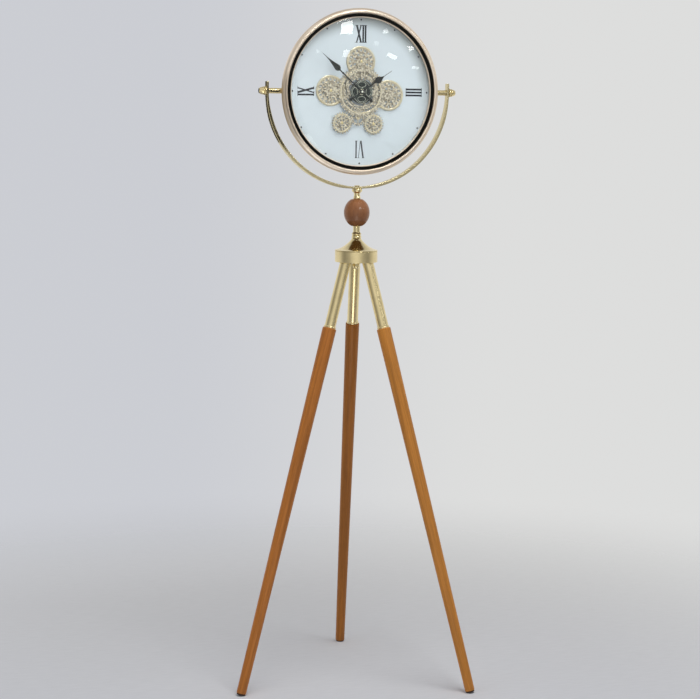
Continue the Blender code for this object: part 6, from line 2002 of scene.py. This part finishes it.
    def low_card(self, studio, stand):
        """A pale card on the floor in front, mirrored as the long highlight down the rear tube."""
        toward = Vector((-math.sin(studio.around), -math.cos(studio.around), 0))
        across = Vector((math.cos(studio.around), -math.sin(studio.around), 0))
        height, distance, wide, deep = 0.02, 1.7, 0.30, 1.0
        middle = Vector((stand.axis_x, stand.axis_y, height)) + toward * distance
        corners = [middle + across * x * wide + toward * y * deep for x, y in CORNER_SIGNS]
        reflected_card("low_card", face_mesh(corners), Matrix.Identity(4), glowing("card_white", 2.3))

    def dark_cards(self, context, studio, stand, case):
        """Dark cards that only show in the left arm of the yoke and in the hub's flare."""
        black = speckled("card_black", (0.012, 0.009, 0.006), (0.02, 0.015, 0.01), 0.9, specular=0.0)
        radius = case.yoke_radius
        before, behind = 0.080, -0.100
        start, end = math.radians(170), math.radians(216)
        for name, inner, outer, forward, across in (
            ("front_card", radius - 0.020, radius + 0.032, before, before * math.tan(studio.around)),
            ("side_card", radius + 0.018, radius + 0.100, behind, 0.0),
        ):
            outline = arc(outer, start, end, 16) + arc(inner, end, start, 16)
            card = prism_mesh([outline], forward, forward + 0.001)
            reflected_card(name, card, face_frame(context) @ shifted((across, 0)), black)
        loops = [circle(stand.ball_radius * 1.12, 48), circle(stand.ball_seat, 32)]
        collar = plate_mesh(loops, stand.ball_low - 0.001, stand.ball_low)
        brown = glowing("flare_brown", 0.075, (1.0, 0.5, 0.12))
        reflected_card("flare_card", collar, stand_frame(context), brown)


class CLOCK_PT_panel(bpy.types.Panel):
    """Lists the clock's pieces in the sidebar"""

    bl_label = "Floor Clock"
    bl_idname = "CLOCK_PT_panel"
    bl_space_type = "VIEW_3D"
    bl_region_type = "UI"
    bl_category = "Floor Clock"

    def draw(self, context):
        for operator in OPERATORS:
            self.layout.operator(operator.bl_idname)


GROUPS = {
    "clock_stand": ClockStandSizes,
    "clock_case": ClockCaseSizes,
    "clock_train": ClockTrainSizes,
    "clock_colours": ClockColours,
    "clock_studio": ClockStudio,
}

OPERATORS = (
    CLOCK_OT_hub,
    CLOCK_OT_stem,
    CLOCK_OT_legs,
    CLOCK_OT_yoke,
    CLOCK_OT_pivots,
    CLOCK_OT_case,
    CLOCK_OT_dial,
    CLOCK_OT_wheels,
    CLOCK_OT_centre,
    CLOCK_OT_hands,
    CLOCK_OT_works,
    CLOCK_OT_studio,
)


def register():
    for name, group in GROUPS.items():
        bpy.utils.register_class(group)
        setattr(bpy.types.Scene, name, bpy.props.PointerProperty(type=group))
    for operator in OPERATORS:
        bpy.utils.register_class(operator)
    bpy.utils.register_class(CLOCK_PT_panel)


def unregister():
    bpy.utils.unregister_class(CLOCK_PT_panel)
    for operator in reversed(OPERATORS):
        bpy.utils.unregister_class(operator)
    for name, group in GROUPS.items():
        delattr(bpy.types.Scene, name)
        bpy.utils.unregister_class(group)


def main():
    register()
    bpy.ops.clock.hub()
    bpy.ops.clock.stem()
    bpy.ops.clock.legs()
    bpy.ops.clock.yoke()
    bpy.ops.clock.pivots()
    bpy.ops.clock.case()
    bpy.ops.clock.dial()
    bpy.ops.clock.wheels()
    bpy.ops.clock.centre()
    bpy.ops.clock.hands()
    bpy.ops.clock.works()
    bpy.ops.clock.studio()
    bpy.context.view_layer.update()


if __name__ == "__main__":
    main()
